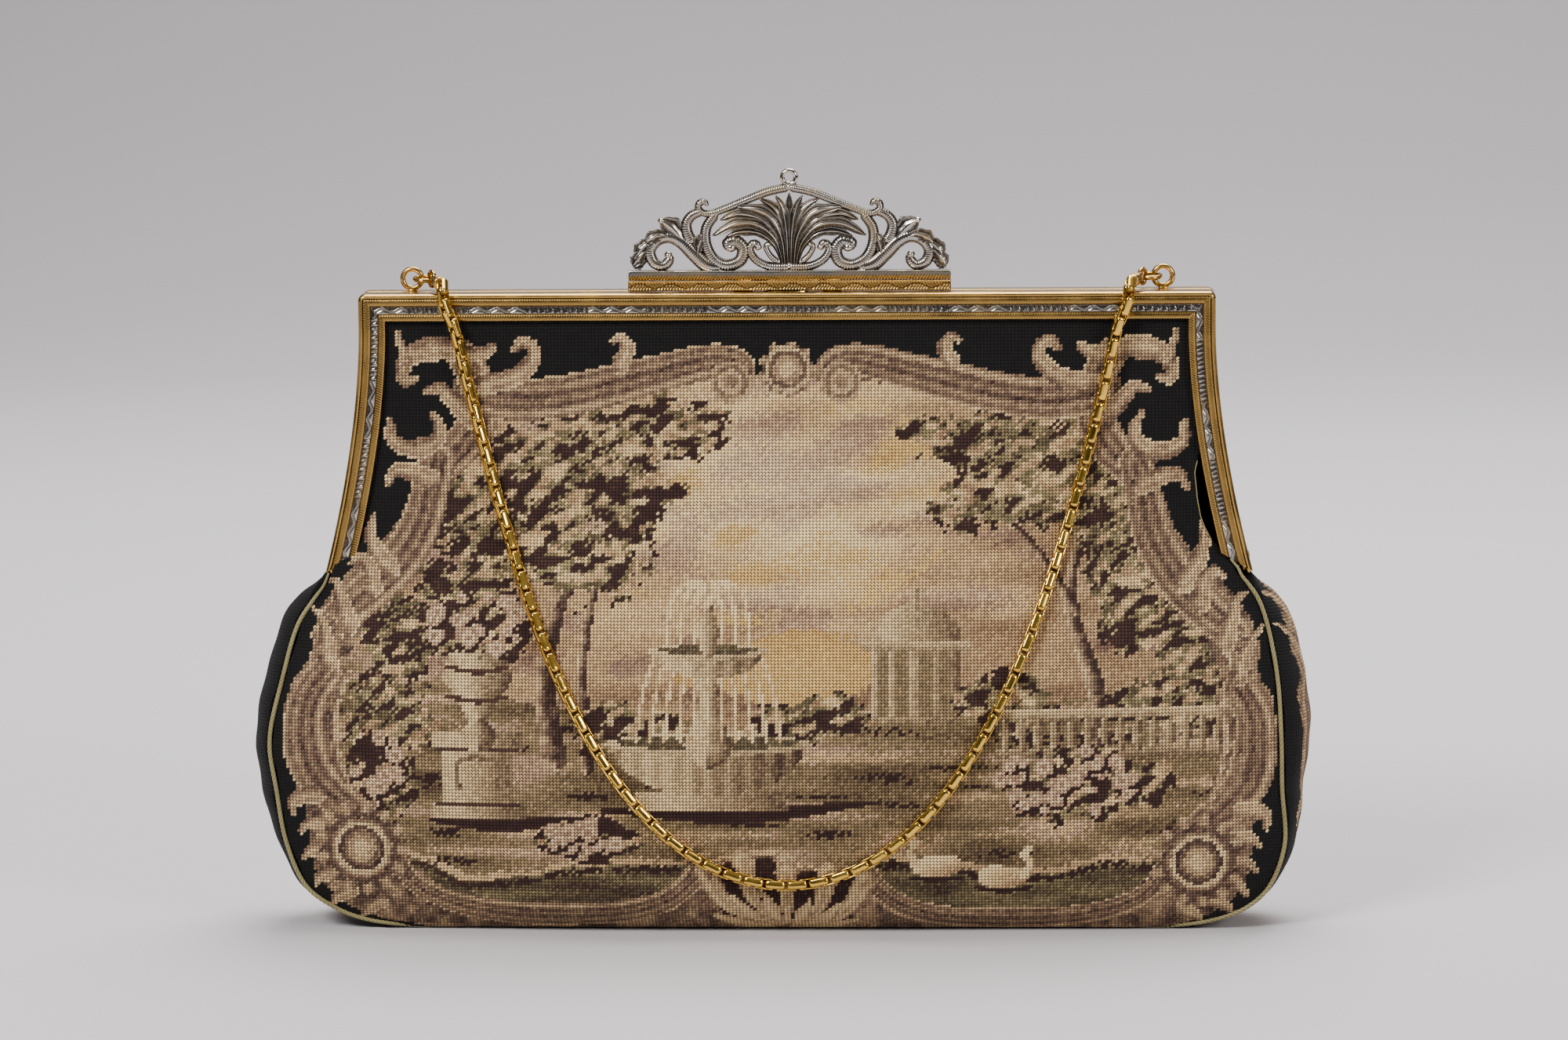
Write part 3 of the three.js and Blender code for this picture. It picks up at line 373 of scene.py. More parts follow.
# The scroll border on its left half: the line's half-widths at start, middle and end, and its places.
# Bars are striped along their length and leaves are shaded from one edge to the other.
BORDER_BARS = (
    (3.4, 4.4, 3.8, ((-67.5, 120), (-65, 115.5), (-64, 110.5), (-65, 105.5), (-68.5, 100.5), (-73, 96.5))),
    (3.8, 4.6, 3.6, ((-73, 98.5), (-75, 90.5), (-76.5, 85), (-79.5, 79.5), (-83.5, 74.5), (-88.5, 70),
                     (-93.5, 66), (-96, 62))),
    (2.6, 3.2, 3.4, ((-95.5, 64), (-96.5, 58), (-96.5, 53))),
    (3.4, 5, 3.8, ((-96, 55), (-100, 49), (-101, 42), (-99.5, 35), (-95.5, 30), (-89, 25))),
    (2, 3, 2.4, ((-82, 18), (-78.5, 11.5), (-72, 7.5), (-64, 5.2), (-53, 4), (-40.5, 4.2), (-32, 5.2),
                 (-24.5, 8), (-20, 12), (-17.5, 16))),
    (3, 4.2, 4.4, ((-10, 114), (-9.5, 117.5), (-13, 119), (-18, 118.5), (-24, 117), (-32, 115), (-40, 113),
                   (-48, 111.5), (-56, 111), (-63, 112))),
)
BORDER_LEAVES = (
    (0.7, 1.6, 2, ((-36, 123), (-34.3, 123.6), (-33, 122), (-34.5, 118))),
    (1, 1.9, 2.2, ((-56.5, 121.5), (-55, 123), (-53, 122), (-52.5, 119.5), (-54.5, 117), (-58, 115),
                   (-63, 114))),
    (1.2, 2.7, 1.2, ((-61.5, 121.5), (-65, 120), (-69, 121), (-73, 121.5), (-77.5, 120.5), (-80, 117.5),
                     (-80, 115), (-78, 115))),
    (1.4, 0.9, 0.5, ((-79.5, 119), (-80.5, 122.5), (-81, 125))),
    (2.2, 1.9, 0.8, ((-66, 107), (-70.5, 111.5), (-72.5, 113.2), (-75.5, 112.5))),
    (0.8, 2.3, 1, ((-74, 108), (-72.5, 105.5), (-73, 102.5), (-76, 100.8), (-79.5, 100.8), (-82.5, 102.5),
                   (-83, 106))),
    (0.8, 1.8, 2.4, ((-83.5, 93.5), (-82, 96), (-78.5, 95.8), (-74.5, 94.5))),
    (0.4, 1.7, 2.4, ((-86.6, 87), (-87.4, 83.5), (-86, 79.5), (-83, 76))),
    (0.6, 1.5, 2.2, ((-91.4, 76.8), (-89.4, 77.9), (-87.2, 76), (-86.4, 72))),
    (0.6, 1.6, 2.4, ((-96, 73.4), (-94.4, 72.6), (-93, 69), (-91.6, 64.5))),
    (0.5, 1.3, 2.2, ((-99.6, 67.6), (-98, 66), (-96.4, 62.5), (-95.6, 57))),
    (0.7, 0.8, 0.7, ((-91.5, 55), (-94, 47), (-94, 39.5), (-91, 30))),
    (1.8, 1.8, 0.7, ((-98, 29), (-101.6, 28.6), (-103.8, 27), (-103.6, 24.8))),
    (1.8, 1.5, 0.6, ((-97, 23), (-100.4, 22.6), (-102.2, 21))),
    (1.7, 1.5, 0.6, ((-97, 17), (-99.8, 17), (-101.6, 15.2))),
    (1.7, 1.5, 0.6, ((-95, 12.4), (-98, 11.4), (-99.2, 9.4))),
    (1.7, 1.5, 0.6, ((-91.6, 8.6), (-94.6, 7), (-96, 5.2))),
    (1.7, 1.4, 0.6, ((-85, 6.4), (-88, 4.6), (-89.6, 2.8))),
)
VOLUTE = (-11.5, 114.5)
VOLUTE_RINGS = ((4.4, 0.72), (3.5, 0.42), (2.6, 0.78), (1.4, 0.5))
ROSETTE = (-89, 18)
ROSETTE_LOBES = (9.4, 0.9, 13)
ROSETTE_RINGS = ((7.6, 0.2), (6.6, 0.45), (5.9, 0.9), (4.8, 0.14), (4, 0.36), (3.1, 0.7), (1.8, 0.95))
SHELL_GROUND = ((0.3, 17), (-8, 17), (-15.5, 15), (-16, 10), (-13, 3), (0.3, 1.5))
SHELL_FRONDS = (
    ((-4, 2.5), (-12, 6), (-17, 14.5)),
    ((-2.5, 2.5), (-7, 8), (-9, 16.5)),
    ((0, 2.5), (0, 8), (0, 16.5)),
)
SHELL_LEAVES = (
    ((-1, 1.5), (-3, 5), (-5, 9.5)),
    ((-2, 1.5), (-7, 3.5), (-11.5, 8.5)),
    ((-3, 1), (-9, 1.8), (-15, 4)),
)
BOSS_PLACE = (0.3, 117)
BOSS_LOBES = (5.6, 0.5, 9)
BOSS_RINGS = ((4.9, 0.85), (4, 0.3), (3, 0.65), (1.6, 0.9))
BORDER_MASS = (
    (0.3, 121), (-6, 116), (-20, 119), (-34, 115), (-50, 112), (-60, 114), (-65, 118), (-69, 118),
    (-69.5, 112), (-68.5, 107), (-71, 101), (-77, 97), (-79, 91), (-81, 86), (-85.5, 80.5), (-91, 76),
    (-94.5, 72), (-97.5, 68), (-99, 64), (-99, 60), (-100.5, 56.5), (-103.5, 53), (-105.5, 47),
    (-105.5, 40), (-104, 34.5), (-102.5, 30), (-100.6, 25), (-100.4, 19), (-99.4, 13.4), (-96.4, 8.6),
    (-91.6, 4.8), (-85, 2.2), (-76, 0.6), (-50, -1), (0.3, -1),
)
VIEW_OUTLINE = (
    (0.3, 116.5), (-8, 114.5), (-18, 114.5), (-34, 111.5), (-50, 109.5), (-60, 108), (-66, 102), (-71, 93),
    (-74, 82), (-80, 73), (-88, 65), (-92, 57), (-95, 47), (-93, 35), (-86, 25), (-80, 16), (-72, 10),
    (-60, 7), (-40, 6.5), (-24, 10), (-18, 16), (0.3, 18),
)
BAR_STRIPES = (0.88, 0.31, 0.6, 0.16, 0.54, 0.2, 0.82, 0.34)
LEAF_SHADES = (0.3, 0.5, 0.86, 0.62, 0.95)
RIGHT_HEIGHTS = (2, 16, 45, 66, 86, 112)
RIGHT_SHARES = (0.965, 0.96, 0.962, 0.995, 0.995, 1)
RIGHT_DROPS = (1, 2.8, 3.4, 4, 2.1, 0)
BACK_SPREAD = (1.07, 0.98)
UNDER_MARGIN = 0.05
UNDER_Z = -8

# The garden's trees: trunks with their half-widths, and clumps of leaves by place and half-size
TRUNKS = (
    (((-48, 38), (-50, 56), (-47, 72), (-51, 88)), (2.6, 1.8, 1)),
    (((-47, 70), (-40, 80), (-32, 94)), (1.3, 0.9, 0.5)),
    (((-41, 36), (-42, 58), (-39, 76)), (1.4, 1.1, 0.7)),
    (((65, 34), (64, 52), (59, 70), (63, 90)), (2.6, 1.6, 0.9)),
    (((60, 68), (52, 80), (42, 90)), (1.2, 0.8, 0.5)),
)
LEFT_CLUMPS = (
    (-66, 92, 11, 13), (-50, 99, 16, 9), (-30, 105, 17, 7), (-38, 92, 14, 9), (-56, 82, 13, 9),
    (-42, 78, 13, 8), (-68, 70, 12, 8), (-80, 62, 9, 9),
)
RIGHT_CLUMPS = (
    (62, 97, 14, 11), (42, 102, 17, 6), (46, 90, 14, 7), (68, 84, 9, 11), (74, 69, 10, 9), (85, 58, 8, 9),
)
BUSH_CLUMPS = ((-82, 46, 11, 9), (-34, 44, 10, 6), (6, 46, 11, 5), (46, 50, 9, 6), (80, 48, 14, 7))

# The garden's ornaments, measured from the foot of each or the middle of the swan: a jet by shares of its
# reach and heights, the pedestal by half-widths and low and high edges, and columns by place and tone
BOWL_TURNS = (math.pi, TURN)
DOME_TURNS = (0, math.pi)
FOUNTAIN_JET = ((0, 40), (0.5, 45), (1, 41), (1.15, 33))
PEDESTAL = ((10, 0, 3), (7.5, 3, 15), (9.5, 15, 18))
PEDESTAL_PANEL = ((-4, 6), (-4, 12), (4, 12), (4, 6))
TEMPLE_COLUMNS = ((-8.4, 0.9), (-5, 0.95), (-0.4, 0.85), (4.4, 0.7), (8.2, 0.5))
SWAN_NECK = ((4, 0.5), (5.4, 3), (4.2, 5.2), (5.4, 6.4))

# Finishes: how fast a stitch falls off to its flanks and tips, where noise or height turns into a tone or
# a roughness, the scale of each noise, the dark that lies in hollows, partly tarnish and partly painted
# shade, and the tint that wear gives
STITCH_FLANK = (1.5, 2.0)
STITCH_TIP = (1.05, 3.0)
STITCH_HOLE_SHADE = (0.05, 0.8, 0.06, 1.1)
FUZZ_SCALE = 2600.0
FUZZ_TONES = (0.25, 0.75, 0.86, 1.12)
FUZZ_HEIGHT = 0.25
LINING_TONE = 0.8
METAL_SCALE = 900.0
CHAIN_SCALE = 1500.0
PATCH_SCALE = 0.16
GRAIN_SCALE = 3.2
PATCH_TONES = (0.38, 0.68)
PATCH_SHINE = (0.3, 0.75)
PATCH_ROUGHNESS = (-0.06, 0.1)
TARNISH_AND_SHADE_TONES = (0.2, 0.6, 0.75, 1.0)
TARNISH_AND_SHADE_ROUGHNESS = 0.22
GILT_DARK = (0.07, 0.036, 0.012)
SILVER_DARK = (0.03, 0.02, 0.012)
CHAIN_DARK = (0.22, 0.11, 0.02)
CORD_DARK = (0.05, 0.038, 0.015)
GILT_WEAR = (1.12, 1.12, 1.12)
SILVER_WEAR = (0.98, 0.86, 0.66)
CHAIN_WEAR = (0.86, 0.86, 0.86)
CORD_WEAR = (0.78, 0.72, 0.66)
CORD_PATCHES = (180.0, 0.35, 0.7)
CORD_FIBRES = 5200.0
CORD_SHADE = 0.9

# Stage, in metres apart from the sensor's millimetres: the camera, a floor that curves up into a backdrop,
# the painted shade that darkens the paper to its front and back, the lamps (place, aim, size, power) and the
# light of the room
SENSOR_WIDTH = 36
CLIP_START = 0.05
SWEEP_HALF_WIDTH = 3.0
SWEEP_FRONT = -2.5
SWEEP_BEND = 1.1
SWEEP_RADIUS = 0.9
SWEEP_TOP = 2.6
SWEEP_STEPS = 24
PAPER_UNEVEN = (0.975, 0.975, 0.975)
PAPER_PATCHES = (3.0, 0.3, 0.7)
PAPER_SHADE_COLOUR = (0.12, 0.118, 0.118)
PAPER_SHADE_SPANS = ((-1.2, -0.45, 0.8, 0.0), (0.7, 1.7, 0.0, 0.4), (-0.2, 0.6, 0.07, 0.0))
LAMPS = (
    ("key", (-0.7, -1.0, 1.05), (0, 0, 0.07), 0.5, 25),
    ("fill", (1.0, -0.9, 0.6), (0, 0, 0.07), 0.4, 9),
    ("top", (0.1, 0.3, 1.3), (0, 0, 0), 0.9, 19),
    ("backdrop", (0.2, 0.75, 1.1), (0.2, 0.8, 0), 1.0, 14.5),
)
ROOM_TONES = ((0.02, (0.14, 0.135, 0.13, 1)), (0.75, (0.95, 0.94, 0.93, 1)))
ROOM_STRENGTH = 0.28


# Settings for the sidebar
def length_setting(name, description, millimetres):
    return bpy.props.FloatProperty(
        name=name, description=description, default=millimetres * MM, unit="LENGTH", precision=5)


def angle_setting(name, description, degrees):
    return bpy.props.FloatProperty(
        name=name, description=description, default=math.radians(degrees), subtype="ANGLE")


def colour_setting(name, description, colour, subtype="COLOR"):
    return bpy.props.FloatVectorProperty(
        name=name, description=description, default=colour, subtype=subtype, min=0, max=1)


class ClothSettings(bpy.types.PropertyGroup):
    """The canvas and its threads."""

    stitch_width: length_setting("Stitch width", "Distance between stitches across the canvas", 0.71)
    stitch_height: length_setting("Stitch height", "Distance between rows of stitches", 0.68)
    ground: colour_setting(
        "Ground", "Thread of the dark ground round the border", (0.07, 0.071, 0.082), "COLOR_GAMMA")
    cord: colour_setting("Piping", "Silk of the piped seam", (0.27, 0.225, 0.075))
    seed: bpy.props.IntProperty(name="Seed", description="Fixes the chance in the stitching", default=7)


class MetalSettings(bpy.types.PropertyGroup):
    """The finishes of the frame, the crest and the chain."""

    gilt: colour_setting("Gilt", "Worn gilding of the frame and clasp", (0.5, 0.308, 0.088))
    bright_gilt: colour_setting("Bright gilt", "Gilding of the chain", (0.86, 0.545, 0.1))
    silver: colour_setting("Silver", "Cast crest and chased strips", (0.6, 0.56, 0.51))
    reed_pitch: length_setting("Reed pitch", "Distance between the milled ridges of the frame", 0.52)


class ChainSettings(bpy.types.PropertyGroup):
    """The square links of the chain."""

    link_width: length_setting("Link width", "Outside width of a square link", 2.36)
    link_length: length_setting("Link length", "Outside length of a link along the chain", 4.44)
    strip_width: length_setting("Strip width", "Width of the strip that a link is bent from", 1.68)
    strip_thickness: length_setting("Strip thickness", "Thickness of that strip", 0.44)
    spacing: length_setting("Spacing", "Distance from one link to the next", 2.29)
    turn: angle_setting("Turn", "How far the first link is turned from facing forwards", 45)
    twist: angle_setting("Twist", "How far the chain twists from each link to the next", 0.48)


class StageSettings(bpy.types.PropertyGroup):
    """Where the camera stands and what the bag stands on."""

    azimuth: angle_setting("Azimuth", "How far round to the right the camera stands", 2.5)
    elevation: angle_setting("Elevation", "How far above the horizon the camera stands", 7.5)
    roll: angle_setting("Roll", "How far the camera leans", 0.45)
    distance: length_setting("Distance", "From the camera to the bag", 1200)
    view_angle: angle_setting("View angle", "Width of the view", 15.6)
    aim: bpy.props.FloatVectorProperty(
        name="Aim", description="What the camera looks at", default=(-0.0009, 0, 0.0847), subtype="XYZ")
    floor: colour_setting("Floor", "Colour of the floor and backdrop", (0.59, 0.556, 0.566))


# Curves and smooth noise
def smooth_run(points, steps):
    """A centripetal curve through given places, with this many steps between each two."""
    places = np.asarray(points, float)
    before = 2 * places[0] - places[1]
    after = 2 * places[-1] - places[-2]
    run = np.vstack([before, places, after])
    pieces = []
    for a, b, c, d in zip(run, run[1:], run[2:], run[3:]):
        gaps = [math.sqrt(max(np.linalg.norm(q - p), 1e-4)) for p, q in ((a, b), (b, c), (c, d))]
        k0, k1, k2, k3 = np.cumsum([0] + gaps)
        t = np.linspace(k1, k2, steps, endpoint=False)[:, None]
        ab = a + (b - a) * (t - k0) / (k1 - k0)
        bc = b + (c - b) * (t - k1) / (k2 - k1)
        cd = c + (d - c) * (t - k2) / (k3 - k2)
        abc = ab + (bc - ab) * (t - k0) / (k2 - k0)
        bcd = bc + (cd - bc) * (t - k1) / (k3 - k1)
        pieces.append(abc + (bcd - abc) * (t - k1) / (k2 - k1))
    return np.vstack(pieces + [places[-1:]])


def lengths_along(run):
    """The distance along a run of points at each of them."""
    steps = np.linalg.norm(np.diff(run, axis=0), axis=1)
    return np.concatenate([[0], np.cumsum(steps)])


def points_at(places, lengths, run):
    """The points of a run at these distances along it."""
    return np.column_stack([np.interp(places, lengths, run[:, k]) for k in range(run.shape[1])])


def even_run(run, step):
    """The same run with points at even distances of about this step."""
    lengths = lengths_along(run)
    places = np.linspace(0, lengths[-1], max(2, round(lengths[-1] / step) + 1))
    return points_at(places, lengths, run)


def headings(run):
    """The direction of a run at each of its points."""
    ahead = np.gradient(run, axis=0)
    return ahead / np.linalg.norm(ahead, axis=1)[:, None]


def round_steps(count):
    """Angles in even steps once round."""
    return np.arange(count) / count * TURN


def soft_noise(x, z, size, seed):
    """Noise from 0 to 1 in patches of about this size."""
    cells = 64
    table = np.random.default_rng(seed).random((cells, cells))
    u, v = x / size, z / size
    i, j = np.floor(u).astype(int), np.floor(v).astype(int)
    a, b = u - i, v - j
    a, b = a * a * (3 - 2 * a), b * b * (3 - 2 * b)
    near = table[i % cells, j % cells] * (1 - a) + table[(i + 1) % cells, j % cells] * a
    far = table[i % cells, (j + 1) % cells] * (1 - a) + table[(i + 1) % cells, (j + 1) % cells] * a
    return near * (1 - b) + far * b


# The form of the pouch
def level_at(place):
    """A smooth row of the table of levels at a place between two of its rows."""
    last = len(LEVELS) - 1
    i = min(int(place), last - 1)
    t = place - i
    a, b, c, d = (LEVELS[min(max(i + k, 0), last)] for k in (-1, 0, 1, 2))
    row = b + 0.5 * t * (c - a + t * (2 * a - 5 * b + 4 * c - d + t * (3 * (b - c) + d - a)))
    level = dict(zip(LEVEL_COLUMNS, row))
    fade = np.interp(level["z"], SEAM_WAVE_STOPS, (0, 1, 1, 0))
    for edge, start in SEAM_WAVE_STARTS.items():
        level[edge] += fade * sum(
            size * math.sin(level["z"] / length * TURN + phase + start) for size, length, phase in SEAM_WAVES)
    return level


def dense_levels():
    """Levels of the pouch from the base to the mouth, close together."""
    last = len(LEVELS) - 1
    return [level_at(place) for place in np.linspace(0, last, last * LEVEL_SAMPLES + 1)]


def level_at_height(z):
    """The level whose height is z, found by halving."""
    low, high = 0, len(LEVELS) - 1
    for _ in range(HALVINGS):
        middle = (low + high) / 2
        if level_at(middle)["z"] < z:
            low = middle
        else:
            high = middle
    return level_at(low)


def fold_height(x, z):
    """How far the pulls raise the front cloth: each swells along its length and fades sideways."""
    total = np.zeros_like(x)
    for from_x, from_z, to_x, to_z, width, height in FOLDS:
        along = np.array([to_x - from_x, to_z - from_z])
        share = np.clip(((x - from_x) * along[0] + (z - from_z) * along[1]) / (along @ along), 0, 1)
        off = np.hypot(x - from_x - along[0] * share, z - from_z - along[1] * share) / width
        total = total + height * np.sin(math.pi * (0.1 + 0.8 * share)) * np.exp(-off * off)
    return total


def front_depth(x, level):
    """How far the front cloth stands forward of the parting plane."""
    x = np.asarray(x, float)
    reach = np.where(x < 0, level["left"], level["right"]) - level["tuck"]
    share = np.minimum(np.abs(x) / reach, 1)
    swell = (1 - share ** CROWN_POWER) ** CROWN_SOFTNESS
    return level["edge"] + swell * (level["crown"] - level["edge"] + fold_height(x, level["z"]))


def front_edge(level):
    """The right edge of the front cloth, which leaves the frame in a slit above the hinge."""
    return min(level["right"], float(np.interp(level["z"], SLIT_HEIGHTS, SLIT_EDGES)))


def base_tuck(x):
    """How far the front cloth turns under at the base, fading out to the corners."""
    share = np.minimum(1, np.abs(np.asarray(x, float)) / LEVELS[0, 2])
    return BASE_TUCK * (1 - share ** 4)


def front_rows():
    """Dense rows of the front cloth from the base to the mouth, each from the left seam to the right."""
    rows = []
    for level in dense_levels():
        level["right"] = front_edge(level)
        left = np.linspace(-level["left"] + SEAM_LIP, 0, ROW_SAMPLES, endpoint=False)
        right = np.linspace(0, level["right"] - SEAM_LIP, ROW_SAMPLES + 1)
        x = np.concatenate([left, right])
        rows.append(np.column_stack([x, -front_depth(x, level), np.full_like(x, level["z"])]))
    curl = []
    for turn in np.linspace(math.pi / 2, 0, BASE_CURL_STEPS, endpoint=False):
        row = rows[0].copy()
        row[:, 1] += base_tuck(row[:, 0]) * (1 - math.cos(turn)) * TUCK_SHARE
        row[:, 2] -= (rows[0][0, 2] - BASE_CLEAR) * math.sin(turn)
        curl.append(row)
    return np.array(curl + rows)


def back_half(level, seam, wide):
    """One side of a level of the back, from its edge to the middle: a margin that wraps round the side
    below the hinge and lies flat behind the frame above it, and then the swell of the back."""
    half = ROW_SAMPLES // 3
    wrap = min(max(-level["rim"] / level["edge"], 0), 1)
    wrapped = min(1, wrap * BACK_WRAP)
    reach_out = math.hypot(wide ** 2, level["edge"] * SEAM_GAP) - wide ** 2
    seam_turn = math.sqrt(2 * reach_out) / level["edge"]
    start = min(math.acos(wrap) + seam_turn * wrap, math.pi / 2)
    share = np.linspace(0, 1, half, endpoint=False)
    turn = start + (math.pi / 2 - start) * share
    round_x, round_y = seam + wide * np.sin(turn), -level["edge"] * np.cos(turn)
    flat_x, flat_y = seam - level["tuck"] * share, np.full_like(share, max(level["rim"], 0))
    margin_x = flat_x + (round_x - flat_x) * wrapped
    margin_y = flat_y + (round_y - flat_y) * wrapped
    reach = seam - level["tuck"] + (wide + level["tuck"]) * wrapped
    foot = max(level["rim"], 0)
    power = CROWN_POWER + (BACK_POWER - CROWN_POWER) * wrap
    softness = CROWN_SOFTNESS + (BACK_SOFTNESS - CROWN_SOFTNESS) * wrap
    x = reach * np.cos(np.linspace(0, math.pi / 2, ROW_SAMPLES - half + 1))
    x[-1] = 0
    rise = (1 - (x / reach) ** power) ** softness
    y = foot + (level["back"] - foot) * rise
    return np.concatenate([margin_x, x]), np.concatenate([margin_y, y])


def back_rows():
    """Dense rows of the back cloth, from the seam at the front, under the base and up to the mouth."""
    upper = []
    for level in dense_levels():
        left_x, left_y = back_half(level, level["left"], level["wide"])
        right_x, right_y = back_half(level, level["right"], level["wide_right"])
        x = np.concatenate([-left_x, right_x[:-1][::-1]])
        y = np.concatenate([left_y, right_y[:-1][::-1]])
        upper.append(np.column_stack([x, y, np.full_like(x, level["z"])]))
    base = level_at(0)
    rim = upper[0]
    seam_x = np.clip(rim[:, 0], -base["left"], base["right"])
    seam_y = np.minimum(rim[:, 1], -front_depth(seam_x, base) + SEAM_LIP + base_tuck(seam_x))
    seam = np.column_stack([seam_x, seam_y, np.full_like(seam_x, base["z"])])
    room = np.minimum(1, np.linalg.norm(rim - seam, axis=1) / BASE_ROUNDING)
    under = []
    for share in np.linspace(1, 0, UNDER_SAMPLES, endpoint=False):
        row = rim + (seam - rim) * share
        edge = min(1, share / BASE_EDGE, (1 - share) / BASE_EDGE)
        row[:, 2] = base["z"] * (1 - room * math.sin(edge * math.pi / 2))
        under.append(row)
    return np.array(under + upper)


# Meshes
class Shell:
    """The bodies of one piece: their points, their faces, how deep each point lies in a hollow, and the
    finish of each face."""

    def __init__(self):
        self.points, self.faces, self.hollow, self.finish = [], [], [], []
        self.count = 0

    def add(self, points, faces, hollow=0, finish=0):
        points = np.asarray(points, float).reshape(-1, 3)
        self.points.append(points)
        self.hollow.append(np.broadcast_to(np.asarray(hollow, float).reshape(-1), (len(points),)))
        self.faces.extend([tuple(i + self.count for i in face) for face in faces])
        self.finish.extend([finish] * len(faces) if np.isscalar(finish) else list(finish))
        self.count += len(points)

    def add_loft(self, rings, hollow=0, finish=0, closed=False):
        """A body through rings of points."""
        self.add(rings, loft(rings, closed), hollow, finish)

    def piece(self, name, materials, body, slot, *nodes):
        mesh = bpy.data.meshes.new(name)
        mesh.from_pydata((np.vstack(self.points) * MM).tolist(), [], self.faces)
        for material in materials:
            mesh.materials.append(material)
        mesh.polygons.foreach_set("material_index", np.array(self.finish, np.int32))
        attribute = mesh.attributes.new("Hollow", "FLOAT", "POINT")
        attribute.data.foreach_set("value", np.concatenate(self.hollow).astype(np.float32))
        return dressed(mesh, body, slot, *nodes)


def face_outwards(mesh):
    """Merges doubled points and turns every closed body's faces outwards."""
    work = bmesh.new()
    work.from_mesh(mesh)
    bmesh.ops.remove_doubles(work, verts=work.verts, dist=1e-7)
    bmesh.ops.recalc_face_normals(work, faces=work.faces)
    work.to_mesh(mesh)
    work.free()
    mesh.validate()


def dressed(mesh, body, slot, *nodes):
    """A smooth piece from a mesh, on its body and in place of its nodes."""
    face_outwards(mesh)
    mesh.polygons.foreach_set("use_smooth", np.ones(len(mesh.polygons), bool))
    piece = bpy.data.objects.new(mesh.name, mesh)
    bpy.context.scene.collection.objects.link(piece)
    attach(piece, body)
    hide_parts(*nodes)
    return piece


def loft(rings, closed=False):
    """Faces through rings of equally many points, capped unless the rings close on themselves."""
    count, sides = len(rings), len(rings[0])
    faces = []
    for r in range(count if closed else count - 1):
        here, there = r * sides, (r + 1) % count * sides
        for i in range(sides):
            j = (i + 1) % sides
            faces.append((here + i, here + j, there + j, there + i))
    if not closed:
        faces.append(tuple(range(sides))[::-1])
        faces.append(tuple((count - 1) * sides + i for i in range(sides)))
    return faces


def cross_axes(run):
    """Two axes across a run at each point, carried along it without twist."""
    ahead = headings(run)
    side = np.cross(ahead[0], (0, 0, 1) if abs(ahead[0][2]) < 0.9 else (0, 1, 0))
    sides = []
    for heading in ahead:
        side = side - heading * (side @ heading)
        side = side / np.linalg.norm(side)
        sides.append(side)
    sides = np.array(sides)
    return sides, np.cross(ahead, sides)


def round_tube(run, radii, sides):
    """Rings of a round tube along a run."""
    one, two = cross_axes(run)
    turn = round_steps(sides)[None, :, None]
    radii = np.asarray(radii, float).reshape(len(run), -1)[:, :, None]
    return run[:, None] + radii * (np.cos(turn) * one[:, None] + np.sin(turn) * two[:, None])


def wire_ring(radius, wire, axes, centre, turns=40, sides=12):
    """Rings of a wire bent into a circle in the plane of two axes."""
    across, up = (np.asarray(axis, float) for axis in axes)
    face = np.cross(across, up)
    section = round_steps(sides)[:, None]
    rings = []
    for turn in round_steps(turns):
        out = math.cos(turn) * across + math.sin(turn) * up
        ring = np.cos(section) * out + np.sin(section) * face
        rings.append(np.asarray(centre) + out * radius + wire * ring)
    return np.array(rings)


def soft_box(low, high, bevel):
    """Rings of a box with bevelled edges."""
    low, high = np.asarray(low, float), np.asarray(high, float)
    levels = (low[2], low[2] + bevel, high[2] - bevel, high[2])
    rings = []
    for z in levels:
        inset = bevel if z in (levels[0], levels[3]) else 0
        x0, x1, y0, y1 = low[0] + inset, high[0] - inset, low[1] + inset, high[1] - inset
        rings.append([(x0 + bevel, y0, z), (x1 - bevel, y0, z), (x1, y0 + bevel, z), (x1, y1 - bevel, z),
                      (x1 - bevel, y1, z), (x0 + bevel, y1, z), (x0, y1 - bevel, z), (x0, y0 + bevel, z)])
    return np.array(rings)


def barrel(radius, low, high, y, z, sides=20):
    """Rings of a round bar along X with softened ends."""
    turn = round_steps(sides)
    bevel = radius * BARREL_BEVEL
    inset = radius - bevel
    rings = []
    for x, r in ((low, inset), (low + bevel, radius), (high - bevel, radius), (high, inset)):
        rings.append(np.column_stack([np.full(sides, x), y + r * np.cos(turn), z + r * np.sin(turn)]))
    return np.array(rings)


# Trees of nodes
class Nodes:
    """Short forms for building a tree of nodes."""

    def __init__(self, tree):
        self.nodes, self.links = tree.nodes, tree.links

    def node(self, kind, inputs=(), **settings):
        made = self.nodes.new(kind)
        for key, value in settings.items():
            setattr(made, key, value)
        for key, value in dict(inputs).items():
            self.put(made.inputs[key], value)
        return made

    def put(self, socket, value):
        if isinstance(value, bpy.types.NodeSocket):
            self.links.new(value, socket)
        else:
            socket.default_value = value

    def sum(self, kind, a, b=0.0, c=0.0, clamp=False):
        made = self.node("ShaderNodeMath", operation=kind, use_clamp=clamp)
        for socket, value in zip(made.inputs, (a, b, c)):
            self.put(socket, value)
        return made.outputs[0]


